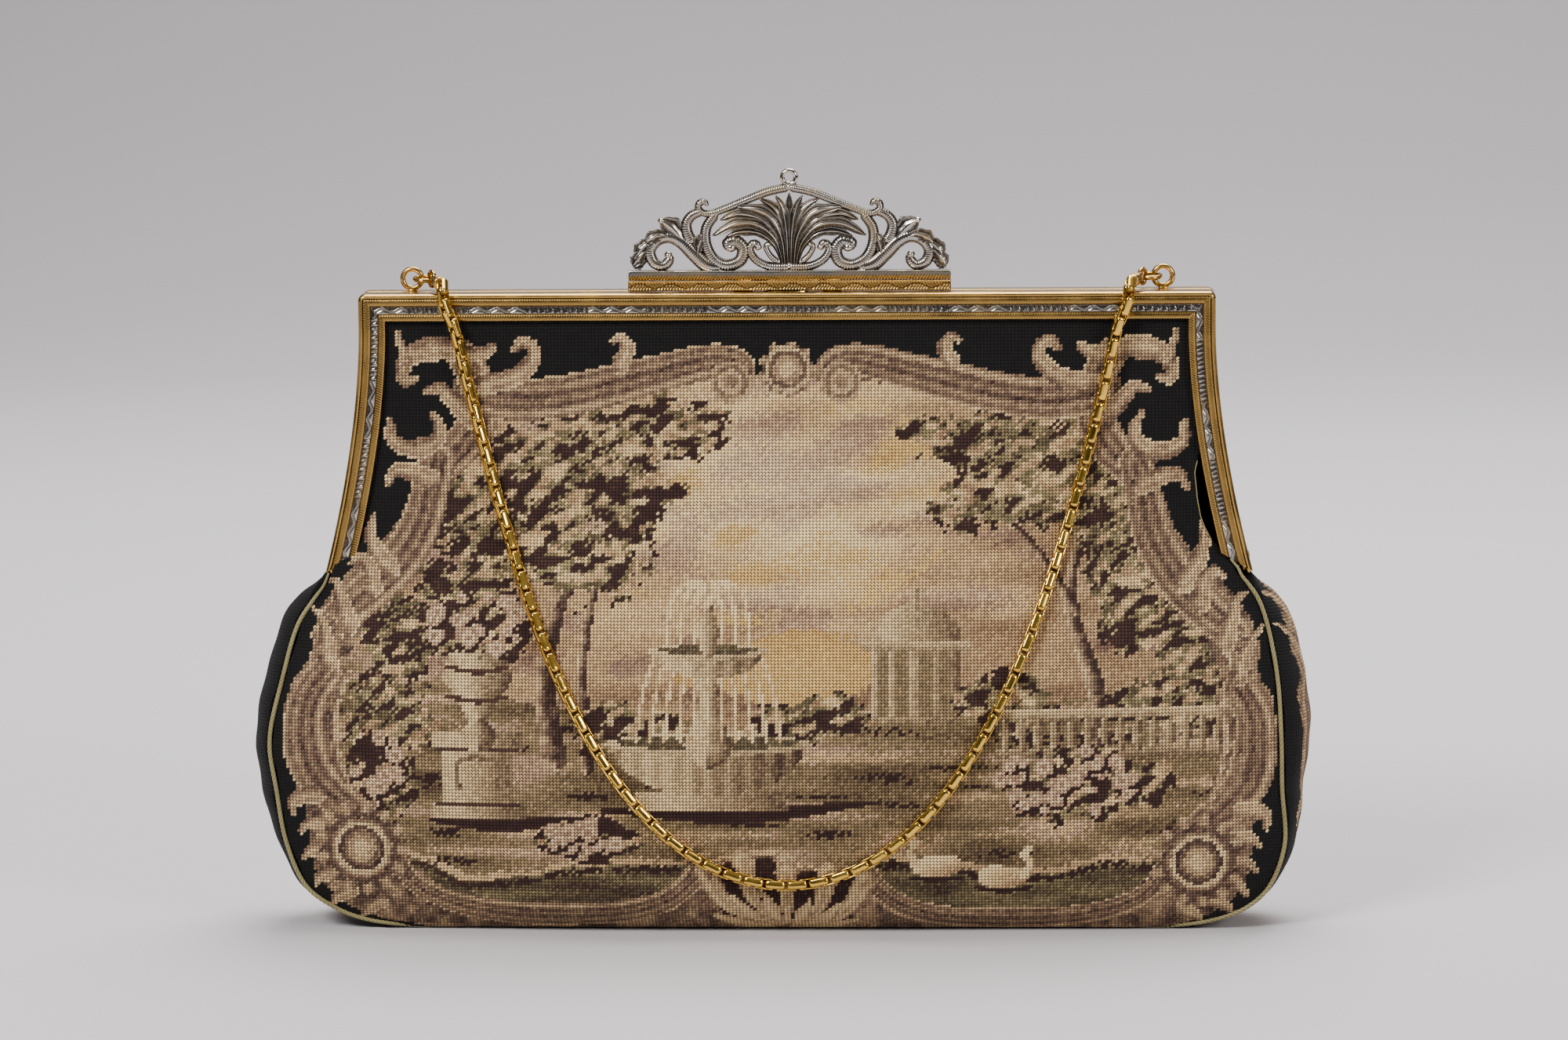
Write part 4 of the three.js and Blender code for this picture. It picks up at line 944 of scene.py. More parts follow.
# Materials
class Recipe(Nodes):
    """Short forms for building one material."""

    def __init__(self, name):
        self.material = bpy.data.materials.new(name)
        self.material.use_nodes = True
        super().__init__(self.material.node_tree)
        self.surface = self.nodes["Principled BSDF"]

    def span(self, value, low, high, to_low=0.0, to_high=1.0):
        inputs = {"From Min": low, "From Max": high, "To Min": to_low, "To Max": to_high}
        made = self.node("ShaderNodeMapRange", inputs, interpolation_type="SMOOTHSTEP")
        self.put(made.inputs["Value"], value)
        return made.outputs["Result"]

    def mix(self, share, a, b, kind="MIX"):
        made = self.node("ShaderNodeMix", data_type="RGBA", blend_type=kind)
        for name, value in (("Factor_Float", share), ("A_Color", a), ("B_Color", b)):
            socket = next(s for s in made.inputs if s.identifier == name)
            self.put(socket, value)
        return next(s for s in made.outputs if s.identifier == "Result_Color")

    def noise(self, where, scale, detail=3.0):
        inputs = {"Vector": where, "Scale": scale, "Detail": detail}
        return self.node("ShaderNodeTexNoise", inputs).outputs["Fac"]

    def place(self):
        return self.node("ShaderNodeTexCoord").outputs["Object"]

    def hollow(self):
        return self.node("ShaderNodeAttribute", attribute_name="Hollow").outputs["Fac"]

    def fall_off(self, away, scale, power):
        """From 1 in the middle down to 0, by how far away a place is."""
        lost = self.sum("POWER", self.sum("MULTIPLY", away, scale), power)
        return self.sum("SUBTRACT", 1.0, lost, clamp=True)

    def bump(self, strength, millimetres, height):
        inputs = {"Strength": strength, "Distance": millimetres * MM, "Height": height}
        return self.node("ShaderNodeBump", inputs).outputs["Normal"]

    def finish(self, **inputs):
        for name, value in inputs.items():
            self.put(self.surface.inputs[name.replace("_", " ")], value)
        return self.material


def opaque(colour):
    return (*colour, 1)


def tinted(colour, shares):
    """A colour with each of its parts taken in a share."""
    return tuple(part * share for part, share in zip(colour, shares))


def petit_point_material():
    """Slanting stitches on canvas: the thread's own colour, painted shade that darkens each stitch's flanks
    and tips and the holes between stitches, fuzzy wool.
    """
    r = Recipe("petit_point_wool")
    thread = r.node("ShaderNodeAttribute", attribute_name="Thread").outputs["Color"]
    canvas = r.node("ShaderNodeUVMap", uv_map="Canvas").outputs["UV"]
    parts = r.node("ShaderNodeSeparateXYZ", {"Vector": canvas})
    across = r.sum("FRACT", parts.outputs["X"])
    up = r.sum("FRACT", parts.outputs["Y"])
    aside = r.sum("ABSOLUTE", r.sum("SUBTRACT", across, up))
    along = r.sum("ABSOLUTE", r.sum("SUBTRACT", r.sum("ADD", across, up), 1.0))
    height = r.sum("MULTIPLY", r.fall_off(aside, *STITCH_FLANK), r.fall_off(along, *STITCH_TIP))
    fuzz = r.noise(r.place(), FUZZ_SCALE, 4.0)
    lit = r.mix(1.0, thread, r.span(fuzz, *FUZZ_TONES), "MULTIPLY")
    # Painted shade: the thread darkens towards each stitch's flanks and tips and into the holes between them
    tone = r.mix(1.0, lit, r.span(height, *STITCH_HOLE_SHADE), "MULTIPLY")
    raised = r.sum("ADD", height, r.sum("MULTIPLY", fuzz, FUZZ_HEIGHT))
    return r.finish(Base_Color=tone, Roughness=0.8, Normal=r.bump(0.8, 0.25, raised), Sheen_Weight=0.025,
                    Sheen_Roughness=0.5, Specular_IOR_Level=0.16)


def metal_material(name, colour, worn, dark, roughness, scale=METAL_SCALE):
    """Cast or rolled metal: patches worn to another tint, fine grain, and a dark in the hollows that is
    partly tarnish and partly painted shade.
    """
    r = Recipe(name)
    where = r.place()
    patches = r.noise(where, scale * PATCH_SCALE, 4.0)
    grain = r.noise(where, scale * GRAIN_SCALE, 3.0)
    tone = r.mix(r.span(patches, *PATCH_TONES), opaque(colour), opaque(tinted(colour, worn)))
    # Hollows darken towards the dark colour: partly tarnish, partly painted shade in grooves, flanks and gaps
    darkening = r.sum("MULTIPLY", r.hollow(), r.span(grain, *TARNISH_AND_SHADE_TONES), clamp=True)
    shaded = r.mix(darkening, tone, opaque(dark))
    shine = (roughness + change for change in PATCH_ROUGHNESS)
    rough = r.sum("ADD", r.span(patches, *PATCH_SHINE, *shine), r.sum("MULTIPLY", darkening, TARNISH_AND_SHADE_ROUGHNESS))
    return r.finish(Base_Color=shaded, Metallic=1.0, Roughness=rough, Normal=r.bump(0.12, 0.04, grain))


def gilt_material():
    return metal_material("worn_gilt", bpy.context.scene.bag_metal.gilt, GILT_WEAR, GILT_DARK, 0.22)


def silver_material():
    return metal_material("cast_silver", bpy.context.scene.bag_metal.silver, SILVER_WEAR, SILVER_DARK, 0.12)


def bright_gilt_material():
    colour = bpy.context.scene.bag_metal.bright_gilt
    return metal_material("bright_gilt", colour, CHAIN_WEAR, CHAIN_DARK, 0.14, CHAIN_SCALE)


def piping_material():
    """Twisted silk: fine filaments along the strands and shadow between them."""
    r = Recipe("piping_silk")
    colour = bpy.context.scene.bag_cloth.cord
    where = r.place()
    scale, low, high = CORD_PATCHES
    darkening = r.span(r.noise(where, scale, 4.0), low, high)
    tone = r.mix(darkening, opaque(colour), opaque(tinted(colour, CORD_WEAR)))
    shaded = r.mix(r.sum("MULTIPLY", r.hollow(), CORD_SHADE), tone, opaque(CORD_DARK))
    fibre = r.noise(where, CORD_FIBRES, 2.0)
    return r.finish(Base_Color=shaded, Roughness=0.5, Normal=r.bump(0.3, 0.05, fibre), Sheen_Weight=0.25)


def stage_material():
    """Matt paper, very slightly uneven, with painted shade that darkens it towards its front and its back."""
    r = Recipe("studio_paper")
    colour = bpy.context.scene.bag_stage.floor
    where = r.place()
    scale, low, high = PAPER_PATCHES
    uneven = r.span(r.noise(where, scale), low, high)
    tone = r.mix(uneven, opaque(colour), opaque(tinted(colour, PAPER_UNEVEN)))
    nearer = r.node("ShaderNodeSeparateXYZ", {"Vector": where}).outputs["Y"]
    # Painted shade: the paper darkens towards its front and its back, where the light falls off
    for fade in PAPER_SHADE_SPANS:
        tone = r.mix(r.span(nearer, *fade), tone, opaque(PAPER_SHADE_COLOUR))
    return r.finish(Base_Color=tone, Roughness=0.75, Specular_IOR_Level=0.2)


# The drawing worked in stitches
class Canvas:
    """The stitches of one panel: where each lies on the drawing, and the thread that it takes."""

    def __init__(self, x, z, seed):
        self.x, self.z, self.seed = x, z, seed
        chance = np.random.default_rng(seed)
        self.jitter = chance.normal(0, THREAD_JITTER, len(x))
        self.speck = chance.random(len(x)) - 0.5
        ground = np.array(bpy.context.scene.bag_cloth.ground)
        mottle = 0.9 + 0.25 * soft_noise(x, z, 1.1, seed)
        self.thread = ground[None, :] * mottle[:, None]

    def mottle(self, size, seed, lean=0.0, stretch=1.0):
        """Noise for each stitch, slanting and drawn out along the canvas, ragged by single stitches."""
        leaning = (self.x + lean * self.z) / stretch
        return soft_noise(leaning, self.z, size, self.seed + seed) + RAGGED * self.speck

    def lay(self, where, ramp, tone):
        """Works the marked stitches in a ramp of threads, in the few tones that it has."""
        tone = np.broadcast_to(tone, self.x.shape)[where] + self.jitter[where]
        tone = np.clip(np.round(tone * THREAD_STEPS) / THREAD_STEPS, 0, 1)
        stops = np.linspace(0, 1, len(ramp))
        colours = np.asarray(ramp, float) / 255
        self.thread[where] = np.column_stack([np.interp(tone, stops, colours[:, k]) for k in range(3)])

    def nearest(self, run, reach):
        """For stitches within reach of a run: which they are, how far along it and how far to its side."""
        low, high = run.min(axis=0) - reach, run.max(axis=0) + reach
        within_x = (self.x > low[0]) & (self.x < high[0])
        near = np.flatnonzero(within_x & (self.z > low[1]) & (self.z < high[1]))
        px, pz = self.x[near], self.z[near]
        lengths = lengths_along(run)
        best = np.full(len(near), 1e9)
        share, side = np.zeros(len(near)), np.zeros(len(near))
        for (ax, az), (bx, bz), start, end in zip(run, run[1:], lengths, lengths[1:]):
            dx, dz = bx - ax, bz - az
            t = np.clip(((px - ax) * dx + (pz - az) * dz) / max(dx * dx + dz * dz, 1e-9), 0, 1)
            off_x, off_z = px - ax - t * dx, pz - az - t * dz
            away = np.hypot(off_x, off_z)
            closer = away < best
            best = np.where(closer, away, best)
            share = np.where(closer, (start + t * (end - start)) / lengths[-1], share)
            side = np.where(closer, np.where(dx * off_z - dz * off_x < 0, -away, away), side)
        return near, share, side

    def stroke(self, path, widths, ramp, tones, grain=0.2):
        """A line that swells and tapers, shaded from its right edge to its left by a list of tones."""
        near, share, side = self.nearest(smooth_run(path, STROKE_STEPS), max(widths) + 1)
        half = np.interp(share, np.linspace(0, 1, len(widths)), widths)
        inside = np.abs(side) < half
        place = (side / np.maximum(half, 0.05) + 1) / 2
        tone = np.zeros(len(self.x))
        tone[near] = np.interp(place, np.linspace(0, 1, len(tones)), tones)
        tone[near] += grain * (soft_noise(self.x[near], self.z[near], 1.6, self.seed + 3) - 0.5)
        self.lay(near[inside], ramp, tone)

    def rings(self, centre, rings, ramp):
        """Rings inside each other from the outermost inwards, each with its tone."""
        away = np.hypot(self.x - centre[0], self.z - centre[1])
        for radius, tone in rings:
            self.lay(np.flatnonzero(away < radius), ramp, tone)

    def scallop(self, centre, radius, depth, lobes, ramp):
        """A disc with a lobed edge and ribs that run out to the lobes."""
        turn = np.arctan2(self.z - centre[1], self.x - centre[0])
        away = np.hypot(self.x - centre[0], self.z - centre[1])
        wave = np.cos(turn * lobes)
        self.lay(np.flatnonzero(away < radius + depth * wave), ramp, 0.45 + 0.3 * wave)

    def inside(self, outline):
        """Which stitches lie inside a closed outline."""
        odd = np.zeros(len(self.x), bool)
        for (ax, az), (bx, bz) in zip(outline, list(outline[1:]) + [outline[0]]):
            if az != bz:
                crosses = (self.z < az) != (self.z < bz)
                odd ^= crosses & (self.x < ax + (self.z - az) / (bz - az) * (bx - ax))
        return odd

    def fill(self, outline, ramp, tone):
        self.lay(np.flatnonzero(self.inside(list(outline))), ramp, tone)

    def block(self, foot, halves, low, high, ramp, tone):
        """An upright block with its half-widths at its low and its high edge."""
        x, z = foot
        wide, narrow = halves
        outline = ((x - wide, z + low), (x + wide, z + low), (x + narrow, z + high), (x - narrow, z + high))
        self.fill(outline, ramp, tone)

    def dome(self, centre, half, turns, steps, ramp, tone):
        """A bowl or a dome: part of an oval, between two turns of it."""
        arc = [(centre[0] + half[0] * math.cos(t), centre[1] + half[1] * math.sin(t))
               for t in np.linspace(*turns, steps)]
        self.fill(arc, ramp, tone)

    def stem(self, foot, heights, widths, tones):
        """An upright turned stone stem, with its half-widths."""
        self.stroke([(foot[0], foot[1] + z) for z in heights], widths, STONE, tones)

    def oval(self, centre, half, ramp, tone, relief=0.0):
        """An oval that is lit from the upper left."""
        u, v = (self.x - centre[0]) / half[0], (self.z - centre[1]) / half[1]
        self.lay(np.flatnonzero(u * u + v * v < 1), ramp, tone + relief * (v - u) / 2)

    def lit(self, x, half):
        """Light on an upright round body: strong on the left, fading to the right."""
        return np.interp((self.x - x) / half, (-1, -0.5, 0.1, 1), (0.78, 0.98, 0.66, 0.22))


def mirrored(path):
    """The same path on the right half of the border, which is a little narrower and hangs lower."""
    return [(-x * np.interp(z, RIGHT_HEIGHTS, RIGHT_SHARES), z - np.interp(z, RIGHT_HEIGHTS, RIGHT_DROPS))
            for x, z in path]


def both_halves(outline):
    """A closed outline from its left half."""
    return list(outline) + mirrored(outline)[::-1]


def paint_border(canvas):
    """The scroll border: striped bars, curled leaves, rosettes in the corners, shell and boss."""
    for side in (list, mirrored):
        for start, middle, end, path in BORDER_BARS:
            canvas.stroke(side(path), (start, middle, end), ORNAMENT, BAR_STRIPES)
        for start, middle, end, path in BORDER_LEAVES:
            canvas.stroke(side(path), (start, middle, end), ORNAMENT, LEAF_SHADES, 0.3)
        canvas.rings(side([VOLUTE])[0], VOLUTE_RINGS, ORNAMENT)
        canvas.scallop(side([ROSETTE])[0], *ROSETTE_LOBES, ORNAMENT)
        canvas.rings(side([ROSETTE])[0], ROSETTE_RINGS, ORNAMENT)
    canvas.scallop(BOSS_PLACE, *BOSS_LOBES, ORNAMENT)
    canvas.rings(BOSS_PLACE, BOSS_RINGS, ORNAMENT)
    canvas.fill(both_halves(SHELL_GROUND), SHADE, 0.3 + 0.9 * canvas.speck)
    for side in (list, mirrored):
        for path in SHELL_FRONDS:
            canvas.stroke(side(path), (0.5, 1.5, 2.5), ORNAMENT, (0.5, 0.9, 0.68, 0.98, 0.62))
        for path in SHELL_LEAVES:
            canvas.stroke(side(path), (0.7, 1.7, 0.5), ORNAMENT, (0.6, 0.95, 1, 0.75))


def paint_sky(canvas):
    """Open sky: pale in the middle, warmer low down, in long slanting streaks."""
    canvas.fill(both_halves(BORDER_MASS), ORNAMENT, 0.1 + 0.6 * canvas.mottle(2.2, 10))
    view = np.flatnonzero(canvas.inside(both_halves(VIEW_OUTLINE)))
    streaks = canvas.mottle(3.4, 11, -0.9, 4)
    pale = np.exp(-((canvas.x + 4) / 42) ** 2 - ((canvas.z - 90) / 26) ** 2)
    canvas.lay(view, SKY, 0.22 + 0.6 * pale + 0.46 * (streaks - 0.4))
    cloud = canvas.mottle(4.4, 12, -0.8, 2.2)
    canvas.lay(view[cloud[view] < 0.4], ROSE, 0.42 + 0.5 * pale + 0.4 * (streaks - 0.4))
    canvas.lay(view[(cloud[view] > 0.72) & (pale[view] > 0.4)], OCHRE, 0.7 + 0.3 * streaks)
    glow = np.exp(-((canvas.x - 2) / 24) ** 2 - ((canvas.z - 55) / 9) ** 2)
    warm = view[glow[view] + 0.5 * (streaks[view] - 0.5) > 0.45]
    canvas.lay(warm, OCHRE, 0.5 + 0.3 * glow)
    return view


def paint_meadow(canvas, view):
    """Ground in long broken bands that rise to the sides, with water along the front."""
    rise = 44 + 0.0018 * canvas.x ** 2 + 5 * (soft_noise(canvas.x, 0 * canvas.z, 14, canvas.seed + 5) - 0.5)
    land = view[canvas.z[view] < rise[view]]
    bands = canvas.mottle(2, 6, 0.3, 8)
    broad = canvas.mottle(6, 7, 0, 3)
    canvas.lay(land, MEADOW, 0.05 + 0.62 * bands + 0.3 * broad)
    canvas.lay(land[(bands[land] > 0.6) & (broad[land] > 0.5)], ROSE, 0.3 + 0.5 * bands)
    canvas.lay(land[bands[land] > 0.83], SKY, 0.2 + 0.5 * broad)
    canvas.lay(land[bands[land] < 0.13], SHADE, 2 * bands)
    shore = 14.5 + 5 * (soft_noise(canvas.x, 0 * canvas.z, 11, canvas.seed + 8) - 0.5)
    water = land[canvas.z[land] < shore[land]]
    canvas.lay(water, FOLIAGE, 0.1 + 0.55 * canvas.mottle(1.5, 9, 0, 7))
    bank = land[np.abs(canvas.z[land] - shore[land]) < 0.7 + canvas.speck[land]]
    canvas.lay(bank, SKY, 0.3 + 0.5 * broad)
    under = land[np.abs(canvas.z[land] - shore[land] + 1.7) < 0.5 + canvas.speck[land]]
    canvas.lay(under, SHADE, broad)


def paint_foliage(canvas, view, clumps, shade, seed):
    """Leaves in clumps: pale sprays among olive ones over plum shade, ragged at the edges."""
    fine = canvas.mottle(1.5, seed, 0.7, 1.2)
    spray = canvas.mottle(1.7, seed + 1, -0.8, 1.3)
    mass = canvas.mottle(4.2, seed + 2, 0.4, 1.3)
    for x, z, wide, high in clumps:
        away = ((canvas.x - x) / wide) ** 2 + ((canvas.z - z) / high) ** 2
        away = away + 1.3 * (mass - 0.5) + 0.5 * (fine - 0.5)
        leaf = view[away[view] < 1]
        canvas.lay(leaf, FOLIAGE, 0.2 + 0.62 * fine)
        canvas.lay(leaf[spray[leaf] > 0.66], SKY, 0.1 + 0.7 * fine)
        canvas.lay(leaf[spray[leaf] + 0.4 * (mass[leaf] - 0.5) < shade], SHADE, 0.8 * fine)


def paint_trees(canvas, view):
    """A spreading tree on the left and a lighter one on the right, with trunks and low bushes."""
    for path, widths in TRUNKS:
        canvas.stroke(path, widths, ORNAMENT, (0, 0.05, 0.3, 0.62, 0.8), 0.5)
    paint_foliage(canvas, view, LEFT_CLUMPS, 0.42, 21)
    paint_foliage(canvas, view, RIGHT_CLUMPS, 0.33, 31)
    paint_foliage(canvas, view, BUSH_CLUMPS, 0.38, 41)


def paint_shadow(canvas, path, widths):
    canvas.stroke(path, widths, SHADE, (0.6, 0, 0, 0.7), 0.6)


def paint_fountain(canvas, x, foot):
    """A stone fountain: plinth, fluted basin, stem, bowl and falling water."""
    paint_shadow(canvas, ((x - 22, foot - 2), (x + 6, foot - 3), (x + 36, foot)), (0.4, 2, 0.4))
    flutes = np.cos((canvas.x - x) * 1.5)
    canvas.block((x, foot), (17, 15), -2, 2, STONE, canvas.lit(x, 18))
    canvas.dome((x, foot + 12), (20, 11), BOWL_TURNS, 16, STONE, canvas.lit(x, 21) + 0.13 * flutes - 0.1)
    canvas.oval((x, foot + 12), (21.5, 2.4), STONE, 0.84, 0.3)
    canvas.oval((x, foot + 12.3), (19, 1.4), FOLIAGE, 0.3)
    canvas.stem((x, foot), (12, 20, 28), (5, 1.8, 3.4), (0.2, 0.5, 0.85, 1, 0.8))
    for reach in np.linspace(-11, 11, 11):
        strand = ((x + reach, foot + 30), (x + reach * 1.22, foot + 23), (x + reach * 1.36, foot + 13))
        canvas.stroke(strand, (0.35, 0.5, 0.55), SKY, (0.55, 0.95), 0.7)
    canvas.dome((x, foot + 31), (11.5, 5.5), BOWL_TURNS, 12, STONE, canvas.lit(x, 12) + 0.12 * flutes)
    canvas.oval((x, foot + 31), (12.5, 1.7), STONE, 0.88, 0.3)
    canvas.oval((x, foot + 31.3), (10.6, 0.9), FOLIAGE, 0.3)
    canvas.stem((x, foot), (31, 35, 40), (1.4, 2.6, 0.7), (0.2, 0.5, 0.85, 1))
    for side in (-1, 1):
        for reach in (2.5, 5, 7.5):
            jet = [(x + side * reach * share, foot + z) for share, z in FOUNTAIN_JET]
            canvas.stroke(jet, (0.4, 0.5, 0.4), SKY, (0.7, 1), 0.6)


def paint_urn(canvas, x, foot):
    """A garden urn on its pedestal, with flowers spilling over the rim."""
    paint_shadow(canvas, ((x - 10, foot - 0.5), (x + 4, foot - 1.4), (x + 22, foot + 0.5)), (0.4, 1.6, 0.4))
    stone = canvas.lit(x, 10)
    for half, low, high in PEDESTAL:
        canvas.block((x, foot), (half, half), low, high, STONE, stone)
    for z in (3, 14.6):
        canvas.stroke(((x - 8.5, foot + z), (x + 8.5, foot + z)), (0.4, 0.4), SHADE, (0.8, 0.9))
    panel = [(x + side, foot + z) for side, z in PEDESTAL_PANEL]
    canvas.stroke(panel, (0.4, 0.4), STONE, (0.3, 0.35))
    canvas.stem((x, foot), (18, 20.5, 23), (4, 1.6, 3.4), (0.15, 0.45, 0.85, 1))
    canvas.stem((x, foot), (23, 29, 35), (3, 7.5, 6), (0.15, 0.4, 0.62, 0.9, 1, 0.8))
    for z in (25.5, 31.5):
        band = ((x - 6.5, foot + z), (x, foot + z - 1), (x + 6.5, foot + z))
        canvas.stroke(band, (0.4, 0.5, 0.4), SHADE, (0.9, 1))
    canvas.oval((x, foot + 36), (8, 1.5), STONE, 0.9, 0.4)
    paint_flowers(canvas, x, foot + 40, 10, 6, 20, 51)


def paint_flowers(canvas, x, z, wide, high, count, seed):
    """A heap of round blooms among leaves."""
    chance = np.random.default_rng(canvas.seed + seed)
    paint_foliage(canvas, np.arange(len(canvas.x)), ((x, z - 0.5, wide + 1, high + 1),), 0.45, seed)
    for _ in range(count):
        turn, away = chance.random() * TURN, math.sqrt(chance.random())
        size = 1 + 1.2 * chance.random()
        spot = (x + wide * away * math.cos(turn), z + high * away * math.sin(turn))
        canvas.rings((spot[0] + 0.4, spot[1] - 0.5), ((size, 0.15),), SHADE)
        canvas.rings(spot, ((size, 0.62), (size * 0.7, 0.92), (size * 0.3, 0.5)), ROSE)


def paint_temple(canvas, x, foot):
    """A small round temple in the distance."""
    canvas.oval((x, foot + 1), (12, 1.8), STONE, 0.62, 0.3)
    canvas.block((x, foot), (9, 9), 1, 15, MEADOW, 0.5)
    for offset, tone in TEMPLE_COLUMNS:
        canvas.stem((x + offset, foot), (1.5, 14.5), (0.9, 0.8, 0.9), (tone - 0.3, tone))
    canvas.stroke(((x + 10.5, foot + 15), (x - 10.5, foot + 15)), (1.1, 1.1), STONE, (0.9, 0.5))
    canvas.dome((x, foot + 16), (9.5, 7.5), DOME_TURNS, 14, STONE, canvas.lit(x, 11) - 0.06)
    canvas.stem((x, foot), (23, 26.5), (0.9, 0.4), (0.4, 0.9))


def paint_balustrade(canvas, start, end, foot):
    """A low stone balustrade."""
    canvas.stroke(((end, foot), (start, foot)), (0.9, 0.9), STONE, (0.7, 0.35))
    for x in np.arange(start + 1.5, end, 3.4):
        canvas.stem((x, foot), (0.8, 3, 7), (0.7, 1.2, 0.5), (0.15, 0.55, 0.85))
    canvas.stroke(((end, foot + 8), (start, foot + 8)), (1, 1), STONE, (0.98, 0.55))


def paint_swan(canvas, x, z, facing):
    """A swan on the water."""
    paint_shadow(canvas, ((x - 6, z - 2.2), (x, z - 2.8), (x + 6, z - 2.2)), (0.3, 0.7, 0.3))
    canvas.oval((x, z), (5.2, 2.4), SKY, 0.7, 0.7)
    canvas.oval((x - facing * 1.5, z + 1.2), (3.4, 1.6), SKY, 0.85, 0.6)
    neck = [(x + facing * ahead, z + rise) for ahead, rise in SWAN_NECK]
    canvas.stroke(neck, (1, 0.7, 0.8), SKY, (0.75, 1))


def paint_front(canvas):
    """The front: a garden with a fountain, seen through the scroll border."""
    view = paint_sky(canvas)
    paint_meadow(canvas, view)
    paint_temple(canvas, 27, 46)
    paint_trees(canvas, view)
    paint_balustrade(canvas, 44, 90, 39)
    paint_fountain(canvas, -16, 29)
    paint_urn(canvas, -64, 25)
    paint_flowers(canvas, 60, 33, 17, 7, 40, 61)
    paint_flowers(canvas, -41, 21, 9, 3.5, 16, 71)
    paint_flowers(canvas, -84, 34, 6, 8, 14, 81)
    paint_swan(canvas, 31, 15, -1)
    paint_swan(canvas, 45, 12.5, 1)
    paint_border(canvas)


def paint_back(canvas):
    """The back: the same border round a quieter garden."""
    view = paint_sky(canvas)
    paint_meadow(canvas, view)
    paint_temple(canvas, -27, 46)
    paint_trees(canvas, view)
    paint_balustrade(canvas, -88, -44, 40)
    paint_urn(canvas, 6, 27)
    paint_flowers(canvas, -60, 32, 15, 7, 32, 61)
    paint_flowers(canvas, 52, 28, 16, 6, 32, 71)
    paint_border(canvas)


# Stitched panels
def rows_at_pitch(dense, middle, pitch):
    """Rows at even distances up the middle of a cloth, from its dense rows."""
    lengths = lengths_along(dense[:, middle])
    count = round(lengths[-1] / pitch)
    places = np.interp(np.linspace(0, lengths[-1], count + 1), lengths, np.arange(len(dense)))
    low = np.minimum(places.astype(int), len(dense) - 2)
    share = (places - low)[:, None, None]
    return dense[low] * (1 - share) + dense[low + 1] * share


def canvas_grid(rows, middle, pitch):
    """Where the canvas's upright threads cross each row, with the crossings past the edge drawn in to it.
    Gives the points, which point each crossing uses, and the crossings' distances from the middle."""
    spans = [lengths_along(row) for row in rows]
    spans = [span - span[middle] for span in spans]
    half = math.ceil(max(max(-span[0], span[-1]) for span in spans) / pitch) + 1
    lines = np.arange(-half, half + 1) * pitch
    points, uses, places = [], [], []
    for r, (row, span) in enumerate(zip(rows, spans)):
        first = np.searchsorted(lines, span[0], "right") - 1
        last = np.searchsorted(lines, span[-1], "left")
        at = np.clip(lines, span[0], span[-1])
        points.append(points_at(at, span, row))
        uses.append(r * len(lines) + np.clip(np.arange(len(lines)), first, last))
        places.append(at)
    return np.array(points), np.array(uses), np.array(places)


def zip_edges(one, one_at, other, other_at):
    """Triangles between two runs of points that go the same way, each with its shares of the length."""
    faces = []
    i = j = 0
    while i + 1 < len(one) or j + 1 < len(other):
        if j + 1 == len(other) or (i + 1 < len(one) and one_at[i + 1] <= other_at[j + 1]):
            faces.append((one[i], one[i + 1], other[j]))
            i += 1
        else:
            faces.append((one[i], other[j + 1], other[j]))
            j += 1
    return faces


def grid_cells(uses):
    """The four corners of each cell of a grid."""
    return np.stack([uses[:-1, :-1], uses[:-1, 1:], uses[1:, 1:], uses[1:, :-1]], axis=-1).reshape(-1, 4)


def border_runs(uses):
    """The points along the four edges of a grid, in one turn round it."""
    edges = [uses[0], uses[:, -1], uses[-1, ::-1], uses[::-1, 0]]
    return [list(dict.fromkeys(edge.tolist())) for edge in edges]


def lining_points(rows, facing):
    """The inner side of the wall, in wider steps than the stitches."""
    kept = rows[np.unique(np.append(np.arange(0, len(rows), LINING_STEP), len(rows) - 1))]
    lining = kept[:, ::LINING_STEP // 2]
    outward = np.cross(np.gradient(lining, axis=1), np.gradient(lining, axis=0))
    outward /= np.maximum(np.linalg.norm(outward, axis=2), 1e-9)[:, :, None]
    return lining + outward * WALL * facing


def edge_faces(outer, inner, points):
    """Triangles that close the wall between the edges of its outer and inner grids."""
    faces = []
    for outer_run, inner_run in zip(border_runs(outer), border_runs(inner)):
        outer_at, inner_at = lengths_along(points[outer_run]), lengths_along(points[inner_run])
        faces += zip_edges(outer_run, outer_at / outer_at[-1], inner_run, inner_at / inner_at[-1])
    return faces


def face_colours(threads, ground, count):
    """Linear colours for all faces of a panel: its stitches first, then the plain lining."""
    display = np.tile(np.array(ground) * LINING_TONE, (count, 1))
    display[:len(threads)] = threads
    colours = np.ones((count, 4))
    colours[:, :3] = ((display + 0.055) / 1.055) ** 2.4 * THREAD_TINT
    return colours


